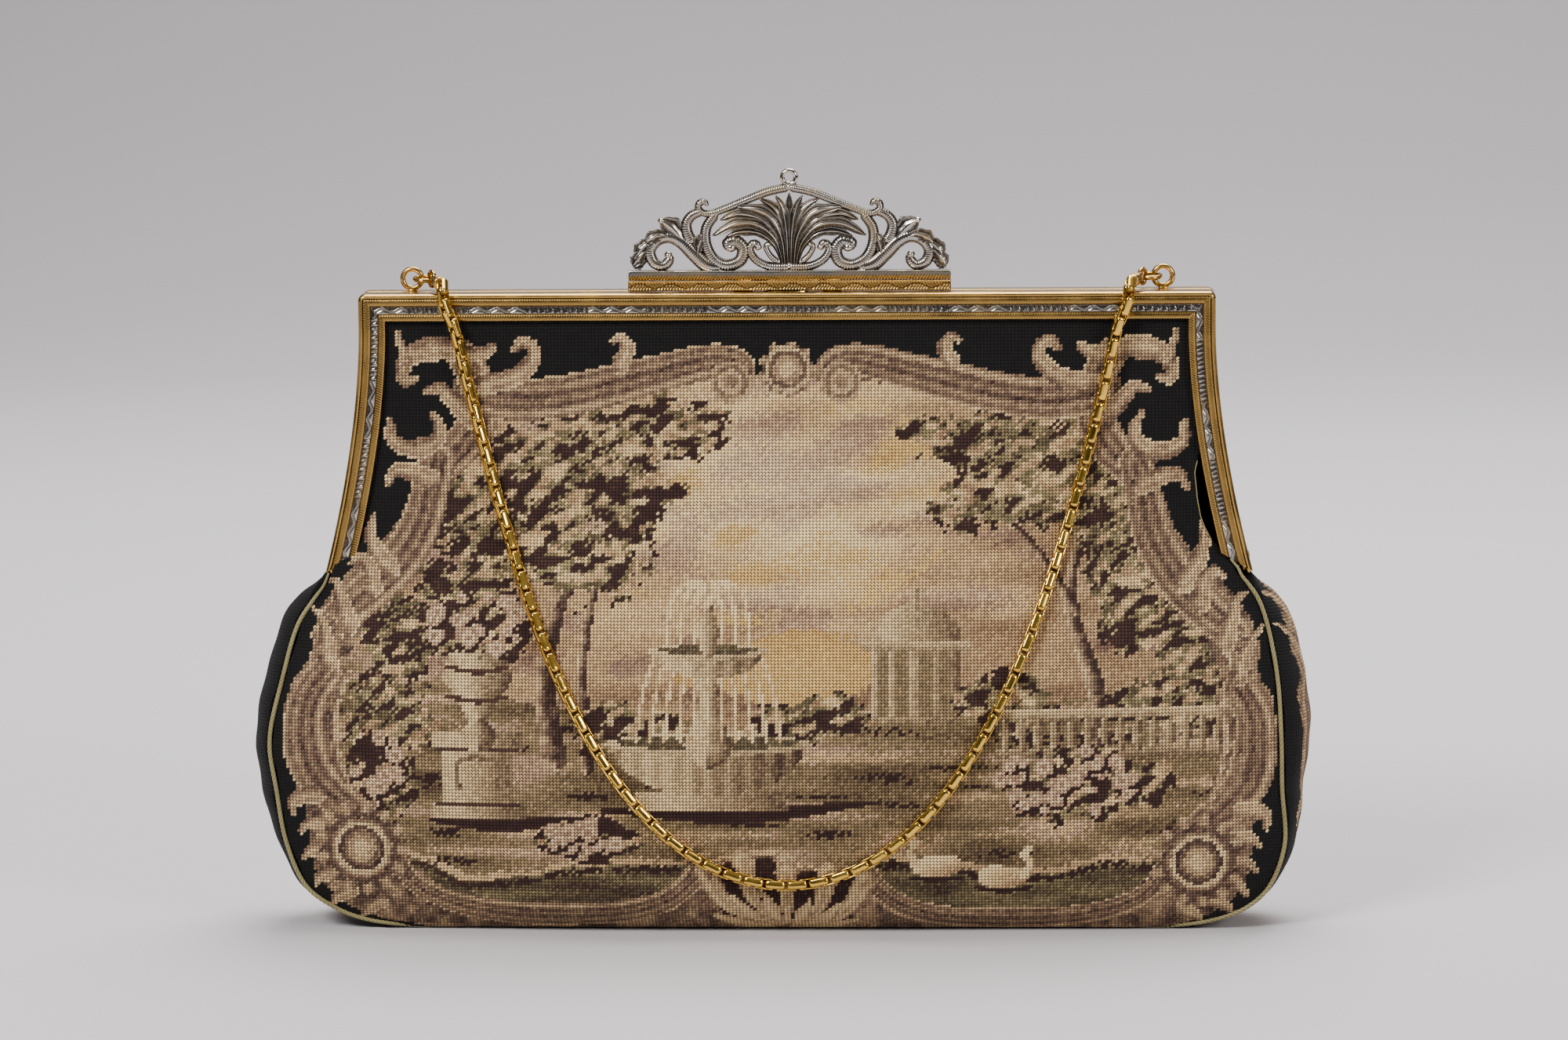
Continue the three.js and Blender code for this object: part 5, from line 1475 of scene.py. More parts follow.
def stitched_panel(name, dense, facing, paint, drawing, material, node):
    """A cloth wall with one face for each stitch outside and a plain lining face inside."""
    cloth = bpy.context.scene.bag_cloth
    width, height = cloth.stitch_width / MM, cloth.stitch_height / MM
    middle = ROW_SAMPLES
    rows = rows_at_pitch(dense, middle, height)
    points, uses, places = canvas_grid(rows, middle, width)
    cells = grid_cells(uses)
    low_flat, high_flat = cells[:, 0] == cells[:, 1], cells[:, 2] == cells[:, 3]
    cells = cells[~(low_flat & high_flat)]
    flat = points.reshape(-1, 3)
    spread = np.column_stack([places.ravel() / width, np.repeat(np.arange(len(rows)), points.shape[1])])
    centres = flat[cells].mean(axis=1)
    canvas = Canvas(*drawing(centres, spread[cells].mean(axis=1), places, len(rows)), cloth.seed)
    paint(canvas)

    inner = lining_points(rows, facing)
    inner_uses = len(flat) + np.arange(inner.shape[0] * inner.shape[1]).reshape(inner.shape[:2])
    every = np.vstack([flat, inner.reshape(-1, 3)])
    faces = [tuple(dict.fromkeys(cell)) for cell in cells.tolist()]
    faces += [tuple(cell) for cell in grid_cells(inner_uses)[:, INWARD_CORNERS].tolist()]
    faces += edge_faces(uses, inner_uses, every)

    mesh = bpy.data.meshes.new(name)
    used, renamed = np.unique(np.concatenate([np.array(face) for face in faces]), return_inverse=True)
    sizes = [len(face) for face in faces]
    corners = np.split(renamed, np.cumsum(sizes)[:-1])
    mesh.from_pydata((every[used] * MM).tolist(), [], [corner.tolist() for corner in corners])
    mesh.materials.append(material)
    colours = face_colours(canvas.thread, cloth.ground, len(faces))
    thread = mesh.color_attributes.new("Thread", "FLOAT_COLOR", "CORNER")
    thread.data.foreach_set("color", np.repeat(colours, sizes, axis=0).astype(np.float32).ravel())
    layer = mesh.uv_layers.new(name="Canvas")
    canvas_places = np.vstack([spread, np.zeros((len(every) - len(flat), 2))])[used]
    layer.data.foreach_set("uv", canvas_places[renamed].astype(np.float32).ravel())
    return dressed(mesh, BAG, "petit_point", node)


def front_drawing(centres, spread, places, rows):
    """The front is drawn as it is seen from the front."""
    return centres[:, 0], centres[:, 2]


def back_drawing(centres, spread, places, rows):
    """The back's drawing fills it from seam to seam, and the ground goes on under the base."""
    heights = LEVELS[:, 0]
    row = np.clip(spread[:, 1].astype(int), 0, rows - 1)
    pitch = bpy.context.scene.bag_cloth.stitch_width / MM
    reach = np.where(spread[:, 0] < 0, -places[row].min(axis=1), places[row].max(axis=1))
    share = spread[:, 0] * pitch / reach
    z = np.where(centres[:, 2] < heights[0] + UNDER_MARGIN, UNDER_Z, centres[:, 2])
    edge = np.interp(z, heights, LEVELS[:, 1])
    return share * edge * np.where(spread[:, 0] < 0, *BACK_SPREAD), z


class BAG_OT_panels(bpy.types.Operator):
    """Stitches the front and the back panel"""

    bl_idname = "evening_bag.panels"
    bl_label = "Stitched panels"

    def execute(self, context):
        wool = petit_point_material()
        front = stitched_panel(
            "front_petit_point", front_rows(), -1, paint_front, front_drawing, wool, "front_panel")
        back = stitched_panel(
            "back_petit_point", back_rows(), 1, paint_back, back_drawing, wool, "back_panel")
        return {"FINISHED"}


# Piping
def piping_run():
    """The seam: down one side from the hinge, along the base, and up the other."""
    lean = PIPING_PROUD * PIPING_LEAN
    sides = {}
    for sign, heads in PIPING_HEADS.items():
        run = []
        for place in heads + PIPING_STOPS:
            level = level_at(place)
            edge = level["left"] if sign < 0 else front_edge(level)
            drop = lean if place < PIPING_TURN else 0
            run.append((sign * (edge + PIPING_PROUD), -level["edge"] - lean, level["z"] - drop))
        sides[sign] = run
    base = level_at(0)
    bottom = []
    for share in PIPING_BASE_SHARES:
        x = share * base["left"]
        y = -float(front_depth(x, base)) + TUCK_SHARE * float(base_tuck(x))
        bottom.append((x, y, PIPING_RADIUS + BASE_CLEAR))
    return smooth_run(sides[-1] + bottom + sides[1][::-1], PIPING_STEPS)


class BAG_OT_piping(bpy.types.Operator):
    """Lays the twisted cord in the seam"""

    bl_idname = "evening_bag.piping"
    bl_label = "Piping"

    def execute(self, context):
        run = even_run(piping_run(), PIPING_STEP)
        lengths = lengths_along(run)
        turn = round_steps(PIPING_SIDES)
        lay = lengths[:, None] / PIPING_LAY * TURN
        groove = np.abs(np.cos((turn[None, :] * PIPING_STRANDS - lay * PIPING_STRANDS) / 2)) ** 6
        taper = np.interp(np.minimum(lengths, lengths[-1] - lengths), *PIPING_TAPER)
        rings = round_tube(run, PIPING_RADIUS * taper[:, None] * (1 - PIPING_GROOVE * groove), PIPING_SIDES)
        shell = Shell()
        shell.add_loft(rings, groove)
        levels = [level_at_height(z) for z in np.linspace(*HEM_SPAN, HEM_POINTS)]
        hem = np.array([(front_edge(at) - SEAM_LIP, -at["edge"] - HEM_RADIUS, at["z"]) for at in levels])
        shell.add_loft(round_tube(hem, np.full((HEM_POINTS, 1), HEM_RADIUS), PIPING_SIDES))
        shell.piece("piped_seam_cord", [piping_material()], BAG, "piping_cord", "piping")
        return {"FINISHED"}


# Frame
def frame_half_width(z):
    drop = np.maximum(0, (FLARE_TOP - z) / (FLARE_TOP - FRAME_FOOT))
    return FRAME_HALF_WIDTH + FLARE * drop ** FLARE_POWER


def frame_stations(step):
    """Where the section stands from the left foot over the top to the right foot: for each station the
    places of all its lines as X and Z, and how far along the run it is."""
    out = np.array([row[0] for row in FACE_ROWS])
    mitre = np.minimum(out, CORNER_START)
    inner_x, inner_z = FRAME_HALF_WIDTH - FACE_WIDTH, FRAME_TOP - FACE_WIDTH
    stations, along = [], []
    foot = FRAME_FOOT + FOOT_RISE - (FOOT_RISE + FOOT_DROP) * out / FACE_WIDTH
    arm = np.arange(FRAME_FOOT - FOOT_DROP, inner_z + CORNER_START, step)
    head = np.arange(-inner_x - CORNER_START + step, inner_x + CORNER_START, step)
    for z in arm:
        height = np.clip(z, foot, inner_z + mitre)
        stations.append((-(frame_half_width(height) - FACE_WIDTH + out), height))
        along.append(z - FRAME_FOOT)
    for turn in np.linspace(0, math.pi / 2, CORNER_STEPS):
        rest = out - mitre
        stations.append((-(inner_x + mitre + rest * math.cos(turn)), inner_z + mitre + rest * math.sin(turn)))
        along.append(along[-1])
    start = along[-1]
    for x in head:
        stations.append((np.clip(x, -inner_x - mitre, inner_x + mitre), inner_z + out))
        along.append(start + x - head[0])
    left = len(arm) + CORNER_STEPS
    end = along[-1]
    mirror = [(-x, z) for x, z in stations[:left]][::-1]
    return stations + mirror, np.array(along + [end + start - a for a in along[:left]][::-1])


def chasing(along, across):
    """Relief of the silver strip: stretches of a wavy double line between stretches of bright cuts."""
    wave = across - WAVE_MIDDLE - WAVE_SWING * np.sin(along / WAVE_PERIOD * TURN)
    line = np.exp(-((np.abs(wave) - 0.1) / 0.06) ** 2)
    moon = np.clip((-0.24 - wave) / 0.1, 0, 1)
    saw = np.abs(((along + 0.35 * across) / FACET_PERIOD) % 1 - 0.5)
    cross = np.abs(((along - 0.8 * across) / FACET_PERIOD / 1.7) % 1 - 0.5)
    cut = np.clip(((1 - across) * 0.5 + 0.08 - saw) / 0.16, 0, 1) * (0.4 + 1.2 * cross)
    return np.where(along % CHASING_PERIOD < CHASING_WAVES, np.maximum(line, moon), cut)


def frame_channel(back, slotted):
    """The channel of one half-frame with its milled bands: points, faces, hollows and finishes."""
    rows = np.array(FACE_ROWS, float)
    out, front, reed, silver = (rows[:, k] for k in range(4))
    pitch = bpy.context.scene.bag_metal.reed_pitch / MM
    stations, along = frame_stations(pitch / 3)
    x = np.array([station[0] for station in stations])
    z = np.array([station[1] for station in stations])
    slant = REED_SLANT * np.abs(out - REED_MIDDLE)[None, :]
    ridge = np.cos((along[:, None] / pitch + slant / pitch) * TURN)
    strip = np.clip((out - STRIP_START) / (STRIP_END - STRIP_START), 0, 1)
    relief = chasing(along[:, None], strip[None, :])
    edge = np.where((strip > 0.02) & (strip < 0.98), 1, 0) * silver
    height = front[None, :] + REED_HEIGHT * reed * (ridge - 1) / 2
    height = height + CHASING_HEIGHT * edge * (relief - 0.5)
    # Darker in the reeds' grooves, the chased strip's ground and the grooves between bands: partly tarnish,
    # partly painted shade
    hollow = reed * (0.5 - 0.5 * ridge) * 0.9 + silver * np.clip(0.95 - 0.8 * relief, 0, 1)
    groove = np.isin(np.round(out, 2), GROOVES)
    hollow = np.where(groove, 1, hollow)
    points = np.stack([x, back * height, z], axis=-1)
    count = len(FACE_ROWS)
    faces, finish = [], []
    for s in range(len(stations) - 1):
        in_slot = slotted and abs(x[s, 0]) < SLOT_HALF and z[s, 0] > FRAME_TOP - FACE_WIDTH - 1
        for i in range(count):
            j = (i + 1) % count
            if in_slot and sorted((front[i], front[j])) == list(SLOT_FRONT) and out[i] == out[j]:
                continue
            faces.append((s * count + i, s * count + j, (s + 1) * count + j, (s + 1) * count + i))
            finish.append(1 if silver[i] and silver[j] else 0)
    faces += [tuple(range(count))[::-1], tuple((len(stations) - 1) * count + i for i in range(count))]
    return points, faces, hollow, finish + [0, 0]


def hinge_ear(shell, sign, back):
    """A rounded tab round the rivet, carried up into the foot of the arm."""
    arc = [(EAR_RADIUS * math.cos(t), HINGE_Z + EAR_RADIUS * math.sin(t))
           for t in np.linspace(*EAR_ARC)]
    tab = [(EAR_ROOT, EAR_HEAD), (EAR_SHOULDER, EAR_HEAD), *arc, (EAR_ROOT, EAR_HEAD - EAR_STEP)]
    inner = FRONT_EAR_X if back < 0 else BACK_EAR_X
    shell.add_loft([[(sign * x, back * y, z) for y, z in tab] for x in (inner, inner + EAR_THICKNESS)])


class BAG_OT_frame(bpy.types.Operator):
    """Builds both half-frames with their milled bands, chased strips, ears, lugs and eyelets"""

    bl_idname = "evening_bag.frame"
    bl_label = "Frame"

    def execute(self, context):
        gilt, silver = gilt_material(), silver_material()
        for side, back in (("front", -1), ("back", 1)):
            shell = Shell()
            shell.add(*frame_channel(back, back < 0))
            for sign in (-1, 1):
                hinge_ear(shell, sign, back)
                if back > 0:
                    self.fittings(shell, sign)
            shell.piece(f"{side}_half_frame", [gilt, silver], BAG, "gilt", f"{side}_frame")
        for sign, side in SIDES:
            ends = (FRONT_EAR_X - RIVET_HEAD, BACK_EAR_X + EAR_THICKNESS + RIVET_HEAD)
            rivet = Shell()
            rivet.add_loft(barrel(RIVET_RADIUS, *sorted(sign * end for end in ends), 0, HINGE_Z))
            rivet.piece(f"peened_rivet_{side}", [gilt], BAG, "gilt", f"hinge_rivet_{side}")
        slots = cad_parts["clasp_pin"].data.materials
        slots.clear()
        slots.append(gilt)
        return {"FINISHED"}

    def fittings(self, shell, sign):
        """The clasp's lug and the chain's eyelet on one side of the back half."""
        lug_x = sign * (PIN_HALF - LUG_LENGTH / 2)
        low, high = lug_x - LUG_LENGTH / 2, lug_x + LUG_LENGTH / 2
        shell.add_loft(barrel(KNUCKLE_RADIUS, low, high, CLASP_AXIS_Y, CLASP_AXIS_Z))
        lug_low = (low, CLASP_AXIS_Y - LUG_HALF_DEPTH, FRAME_TOP - LUG_SINK)
        lug_high = (high, CLASP_AXIS_Y + LUG_HALF_DEPTH, CLASP_AXIS_Z)
        shell.add_loft(soft_box(lug_low, lug_high, FITTING_BEVEL))
        x = sign * EYELET_X
        shell.add_loft(wire_ring(RING_RADIUS, RING_WIRE, UPRIGHT, (x, EYELET_Y, EYELET_Z)), closed=True)
        wide, deep, low, high = EYELET_FOOT
        foot_low = (x - wide, EYELET_Y - deep, FRAME_TOP + low)
        foot_high = (x + wide, EYELET_Y + deep, FRAME_TOP + high)
        shell.add_loft(soft_box(foot_low, foot_high, FITTING_BEVEL))


# Clasp and crest
def lever_relief(x, up):
    """Chasing on the lever's face: feathers of fine slanting cuts that turn about along a wavy line."""
    swing, period, line = LEVER_WAVE
    wave = up - 0.5 - swing * np.sin(x / period * TURN)
    slant = np.where(wave > 0, LEVER_SLANT, -LEVER_SLANT)
    cuts = np.cos((x + slant * up * LEVER_HEIGHT) / LEVER_CUT * TURN)
    return np.where(np.abs(wave) < line, -1, cuts)


def lever_places():
    """Where the sections of the lever and of the rail stand along it."""
    half = LEVER_LENGTH / 2
    return CREST_SHIFT + np.linspace(-half, half, round(LEVER_LENGTH / LEVER_STEP) + 1)


def bar_section(x, front, heights, lip, back, foot, top):
    """One section of a bar along X: a worked front and a plain bevelled back."""
    rest = ((lip, top), (back - BAR_BEVEL, top), (back, top - BAR_BEVEL), (back, foot + BAR_BEVEL),
            (back - BAR_BEVEL, foot), (lip, foot))
    return [(x, y, z) for y, z in (*zip(front, heights), *rest)]


def section_hollow(dark, section):
    """How deep the points of a section lie: its worked front as given, and its plain back not at all."""
    return list(dark) + [0] * (len(section) - len(dark))


class BAG_OT_clasp(bpy.types.Operator):
    """Builds the clasp's lever with its chased face, knuckle and tongue"""

    bl_idname = "evening_bag.clasp"
    bl_label = "Clasp lever"

    def execute(self, context):
        shell = Shell()
        shell.add_loft(*self.bar())
        shell.add_loft(barrel(KNUCKLE_RADIUS, -KNUCKLE_HALF, KNUCKLE_HALF, CLASP_AXIS_Y, CLASP_AXIS_Z))
        start, low, high = KNUCKLE_WEB
        web = (-KNUCKLE_HALF, start, CLASP_AXIS_Z + low), (KNUCKLE_HALF, CLASP_AXIS_Y, CLASP_AXIS_Z + high)
        shell.add_loft(soft_box(*web, WEB_BEVEL))
        front, rear = TONGUE_Y
        root = LEVER_FOOT + TONGUE_ROOT
        tongue = (-TONGUE_HALF, front, LEVER_FOOT - TONGUE_DROP), (TONGUE_HALF, rear, root)
        shell.add_loft(soft_box(*tongue, TONGUE_BEVEL))
        shell.piece("clasp_lever_bar", [gilt_material()], CLASP, "gilt", "clasp_lever")
        return {"FINISHED"}

    def bar(self):
        """The bar as a run of sections along X, notched behind for the lugs: its rings and hollows."""
        x = lever_places()
        relief = lever_relief(x[:, None], LEVER_FACE[None, :])
        framed = (LEVER_FACE > LEVER_FRAMED[0]) & (LEVER_FACE < LEVER_FRAMED[1])
        notched = (np.abs(x) > LEVER_NOTCH[0]) & (np.abs(x) < LEVER_NOTCH[1])
        heights = LEVER_FOOT + LEVER_FACE * LEVER_HEIGHT
        lip = -LEVER_DEPTH / 2 + LEVER_LIP
        rings, hollow = [], []
        for k, place in enumerate(x):
            end = LEVER_LIP if k in (0, len(x) - 1) else 0
            front = -LEVER_DEPTH / 2 + end - np.where(framed, LEVER_RELIEF * (relief[k] - 0.6), 0.05)
            back = LEVER_NOTCH_Y if notched[k] else LEVER_DEPTH / 2 - end
            rings.append(bar_section(place, front, heights, lip, back, LEVER_FOOT, LEVER_FOOT + LEVER_HEIGHT))
            # The chased cuts and the wavy line are darkened: partly tarnish, partly painted shade
            hollow.append(section_hollow(np.where(framed, 0.62 - 0.5 * relief[k], 0), rings[-1]))
        return np.array(rings), np.array(hollow)


def on_crest(x, y, z):
    """Points of the crest from places measured from the middle of the rail's top."""
    return np.stack([CREST_SHIFT + x, y, CREST_FOOT + CREST_RISE * z], axis=-1)


def beside(line, side):
    """Places in the crest's plane at distances to the left of each point of a line."""
    ahead = headings(line)
    return line[:, :1] - ahead[:, 1:] * side, line[:, 1:] + ahead[:, :1] * side


def scroll_bar(path, start, end, milled):
    """A cast bar of oval section along a curve, milled across: its rings and hollows."""
    flat = even_run(smooth_run(path, CREST_STEPS), SCROLL_STEP)
    lengths = lengths_along(flat)
    share = lengths / lengths[-1]
    ridge = 0.5 + 0.5 * np.cos(lengths / MILL_PITCH * TURN)
    half = (start + (end - start) * share) / 2
    for (least, rate), from_end in ((SCROLL_START, share), (SCROLL_TIP, 1 - share)):
        half = half * np.minimum(1, least + from_end * rate)
    grow = 1 + MILL_HEIGHT * milled * (ridge - MILL_LEVEL)
    turn = round_steps(SCROLL_SIDES)
    side = half[:, None] * grow[:, None] * np.cos(turn)[None, :] * SCROLL_SPREAD
    fullness = 0.75 + 0.25 * (half / half.max())
    deep = SCROLL_DEPTH / 2 * grow[:, None] * np.sin(turn)[None, :] * fullness[:, None]
    x, z = beside(flat, side)
    # The bar darkens along its flanks, a painted shade, and in its milled grooves, partly tarnish and partly
    # shade
    flank = np.abs(np.cos(turn))[None, :] ** 1.6
    hollow = np.clip(milled * (1 - ridge)[:, None] * 0.55 + flank, 0, 1)
    return on_crest(x, deep, z), hollow


def veined_leaf(path, breadth, curl, lift):
    """A cast leaf: crowned, grooved along its veins, lifted off the next, with its tip curling forward.
    Gives its rings and hollows."""
    flat = even_run(smooth_run(path, CREST_STEPS), LEAF_STEP)
    lengths = lengths_along(flat)
    places = np.linspace(0, lengths[-1], LEAF_STEPS)
    line = points_at(places, lengths, flat)
    share = places / lengths[-1]
    half = np.interp(share, np.linspace(0, 1, len(LEAF_SHARES)), LEAF_SHARES) * breadth / 2
    depth, lobes, first = LEAF_LOBES
    half = half * (1 + depth * np.sin(share * lobes * math.pi) * (share > first))
    across = np.linspace(-1, 1, LEAF_ACROSS)
    groove = 0.5 - 0.5 * np.cos(across * LEAF_VEINS * math.pi)
    crown = np.sqrt(1 - 0.8 * across ** 2)
    thick = LEAF_DEPTH * (0.55 + 0.45 * np.sin(share * math.pi))
    bow = lift + (curl * share ** 3)[:, None]
    front = -thick[:, None] / 2 * crown[None, :] + VEIN_DEPTH * groove[None, :] - bow
    back = thick[:, None] / 2 * 0.5 * crown[None, :] - 0.8 * bow + 0.1
    x, z = beside(line, half[:, None] * across[None, :])
    rings = np.concatenate([on_crest(x, front, z), on_crest(x, back, z)[:, ::-1]], axis=1)
    # The leaf darkens in its veins, at its edges, towards its foot and on its back: painted shade, with some
    # tarnish in the veins
    edge = across[None, :] ** 6
    dark = np.clip(groove[None, :] ** 1.5 + edge + 0.5 * (1 - share)[:, None], 0, 1)
    return rings, np.concatenate([dark, np.full_like(dark, 0.5)], axis=1)


class BAG_OT_crest(bpy.types.Operator):
    """Casts the pierced crest on its rail"""

    bl_idname = "evening_bag.crest"
    bl_label = "Crest"

    def execute(self, context):
        shell = Shell()
        for sign in (-1, 1):
            for start, end, milled, path in SCROLLS:
                shell.add_loft(*scroll_bar(self.on_side(path, sign), start, end, milled))
            for number, (breadth, curl, path) in enumerate(ACANTHUS + PALMETTE):
                if sign > 0 or path[-1][0]:
                    lift = LEAF_LAYER * (number % 2)
                    shell.add_loft(*veined_leaf(self.on_side(path, sign), breadth, curl, lift))
            for x, z, radius in KNOBS:
                shell.add_loft(self.knob(sign * x, z, radius))
        shell.add_loft(self.knob(0, BOSS_Z, BOSS_RADIUS))
        neck = np.array([on_crest(0, 0, z) for z, _ in FINIAL_NECK])
        shell.add_loft(round_tube(neck, [[radius] for _, radius in FINIAL_NECK], SCROLL_SIDES))
        finial = wire_ring(FINIAL_RADIUS, FINIAL_WIRE, UPRIGHT, on_crest(0, 0, FINIAL_Z))
        shell.add_loft(finial, closed=True)
        shell.add_loft(*self.rail())
        shell.piece("cast_crest", [silver_material(), gilt_material()], CLASP, "silver", "crest")
        return {"FINISHED"}

    def on_side(self, path, sign):
        """A path of the right half, or its mirror image on the left."""
        return [(sign * x, z) for x, z in path]

    def knob(self, x, z, radius):
        """Rings of a small flattened ball, at a scroll's eye or the palmette's foot."""
        turn = round_steps(KNOB_SIDES)
        rings = []
        for t in np.linspace(*KNOB_RINGS):
            r = radius * math.sin(t)
            y = -SCROLL_DEPTH / 2 * math.cos(t) * KNOB_DEPTH
            rings.append([on_crest(x + r * math.cos(a), y, z + r * math.sin(a)) for a in turn])
        return np.array(rings)

    def rail(self):
        """The rail under the scrolls, milled along its front: its rings, hollows and finishes."""
        ticked = RAIL_FACE < RAIL_TICKS
        # The ticks and the groove below the plain band are darkened: partly tarnish, partly painted shade
        plain = np.where(RAIL_FACE < RAIL_GROOVE, 0.95, 0.1)
        heights = RAIL_FOOT + RAIL_FACE * RAIL_HEIGHT
        lip = -RAIL_DEPTH / 2 + BAR_BEVEL
        rings, hollow = [], []
        for place in lever_places():
            tick = np.cos((place - 0.5 * RAIL_FACE * RAIL_HEIGHT) / LEVER_CUT * TURN)
            front = -RAIL_DEPTH / 2 - np.where(ticked, LEVER_RELIEF * tick, 0.04)
            rings.append(bar_section(place, front, heights, lip, RAIL_DEPTH / 2, RAIL_FOOT, CREST_FOOT))
            hollow.append(section_hollow(np.where(ticked, 0.55 - 0.45 * tick, plain), rings[-1]))
        gilded = [1 if i + 1 < len(RAIL_FACE) and ticked[i + 1] else 0 for i in range(len(rings[0]))]
        return np.array(rings), np.array(hollow), gilded * (len(rings) - 1) + [0, 0]


# Rings and chain
class BAG_OT_rings(bpy.types.Operator):
    """Bends the jump rings and the chain's end loops with their caps"""

    bl_idname = "evening_bag.rings"
    bl_label = "Rings and chain ends"

    def execute(self, context):
        gilt = gilt_material()
        tilted = (0, math.cos(RING_TILT), math.sin(RING_TILT))
        for sign, side in SIDES:
            jump = Shell()
            centre = (sign * JUMP_X, JUMP_Y, EYELET_Z)
            jump.add_loft(wire_ring(RING_RADIUS, JUMP_WIRE, ((1, 0, 0), tilted), centre), closed=True)
            jump.piece(f"jump_ring_wire_{side}", [gilt], BAG, "gilt", f"jump_ring_{side}")
            end = Shell()
            self.chain_end(end, np.array([sign, 1, 1]))
            end.piece(f"chain_end_cap_{side}", [gilt], BAG, "gilt", f"chain_end_{side}")
        return {"FINISHED"}

    def chain_end(self, shell, flip):
        """A loop through the jump ring, and a crimped cap that grips the last link."""
        level = (CAP_END - END_LOOP) * (1, 1, 0)
        level = level / np.linalg.norm(level)
        loop = wire_ring(END_LOOP_RADIUS, END_LOOP_WIRE, (level, (0, 0, 1)), END_LOOP)
        shell.add_loft(loop * flip, closed=True)
        start = END_LOOP + level * END_LOOP_RADIUS * CAP_START
        shares, radii, dark = np.array(CAP_PROFILE).T[:, :, None]
        cap = round_tube(start + (CAP_END - start) * shares, radii, CAP_SIDES)
        shell.add_loft(cap * flip, np.repeat(dark, CAP_SIDES, axis=1))


def chain_run():
    """The chain's middle line: over the frame's front edge and down the cloth in a catenary."""
    clear = CHAIN_RADIUS + CHAIN_GAP
    reach = CHAIN_RESTING * CATENARY * math.sinh(CHAIN_SPAN_HALF / CATENARY)
    hang = []
    for along in np.linspace(-reach, reach, HANG_POINTS):
        x = CATENARY * math.asinh(along / CATENARY)
        z = CHAIN_LOW + CATENARY * (math.cosh(x / CATENARY) - 1)
        cloth = float(front_depth(x, level_at_height(z)))
        hang.append((x, -max(cloth, FACE_DEPTH) - clear, z))
    heading = (CAP_END - END_LOOP) / np.linalg.norm(CAP_END - END_LOOP)
    over = [CAP_END + heading * (CHAIN_GAP + 0.05), CAP_END + heading]
    for aside, forward, rise in CHAIN_BEND:
        over.append(np.array([CHAIN_SPAN_HALF + aside, -FACE_DEPTH - clear - forward, FRAME_TOP + rise]))
    left = [place * (-1, 1, 1) for place in over]
    return smooth_run(left + [np.array(place) for place in hang] + over[::-1], HANG_STEPS)


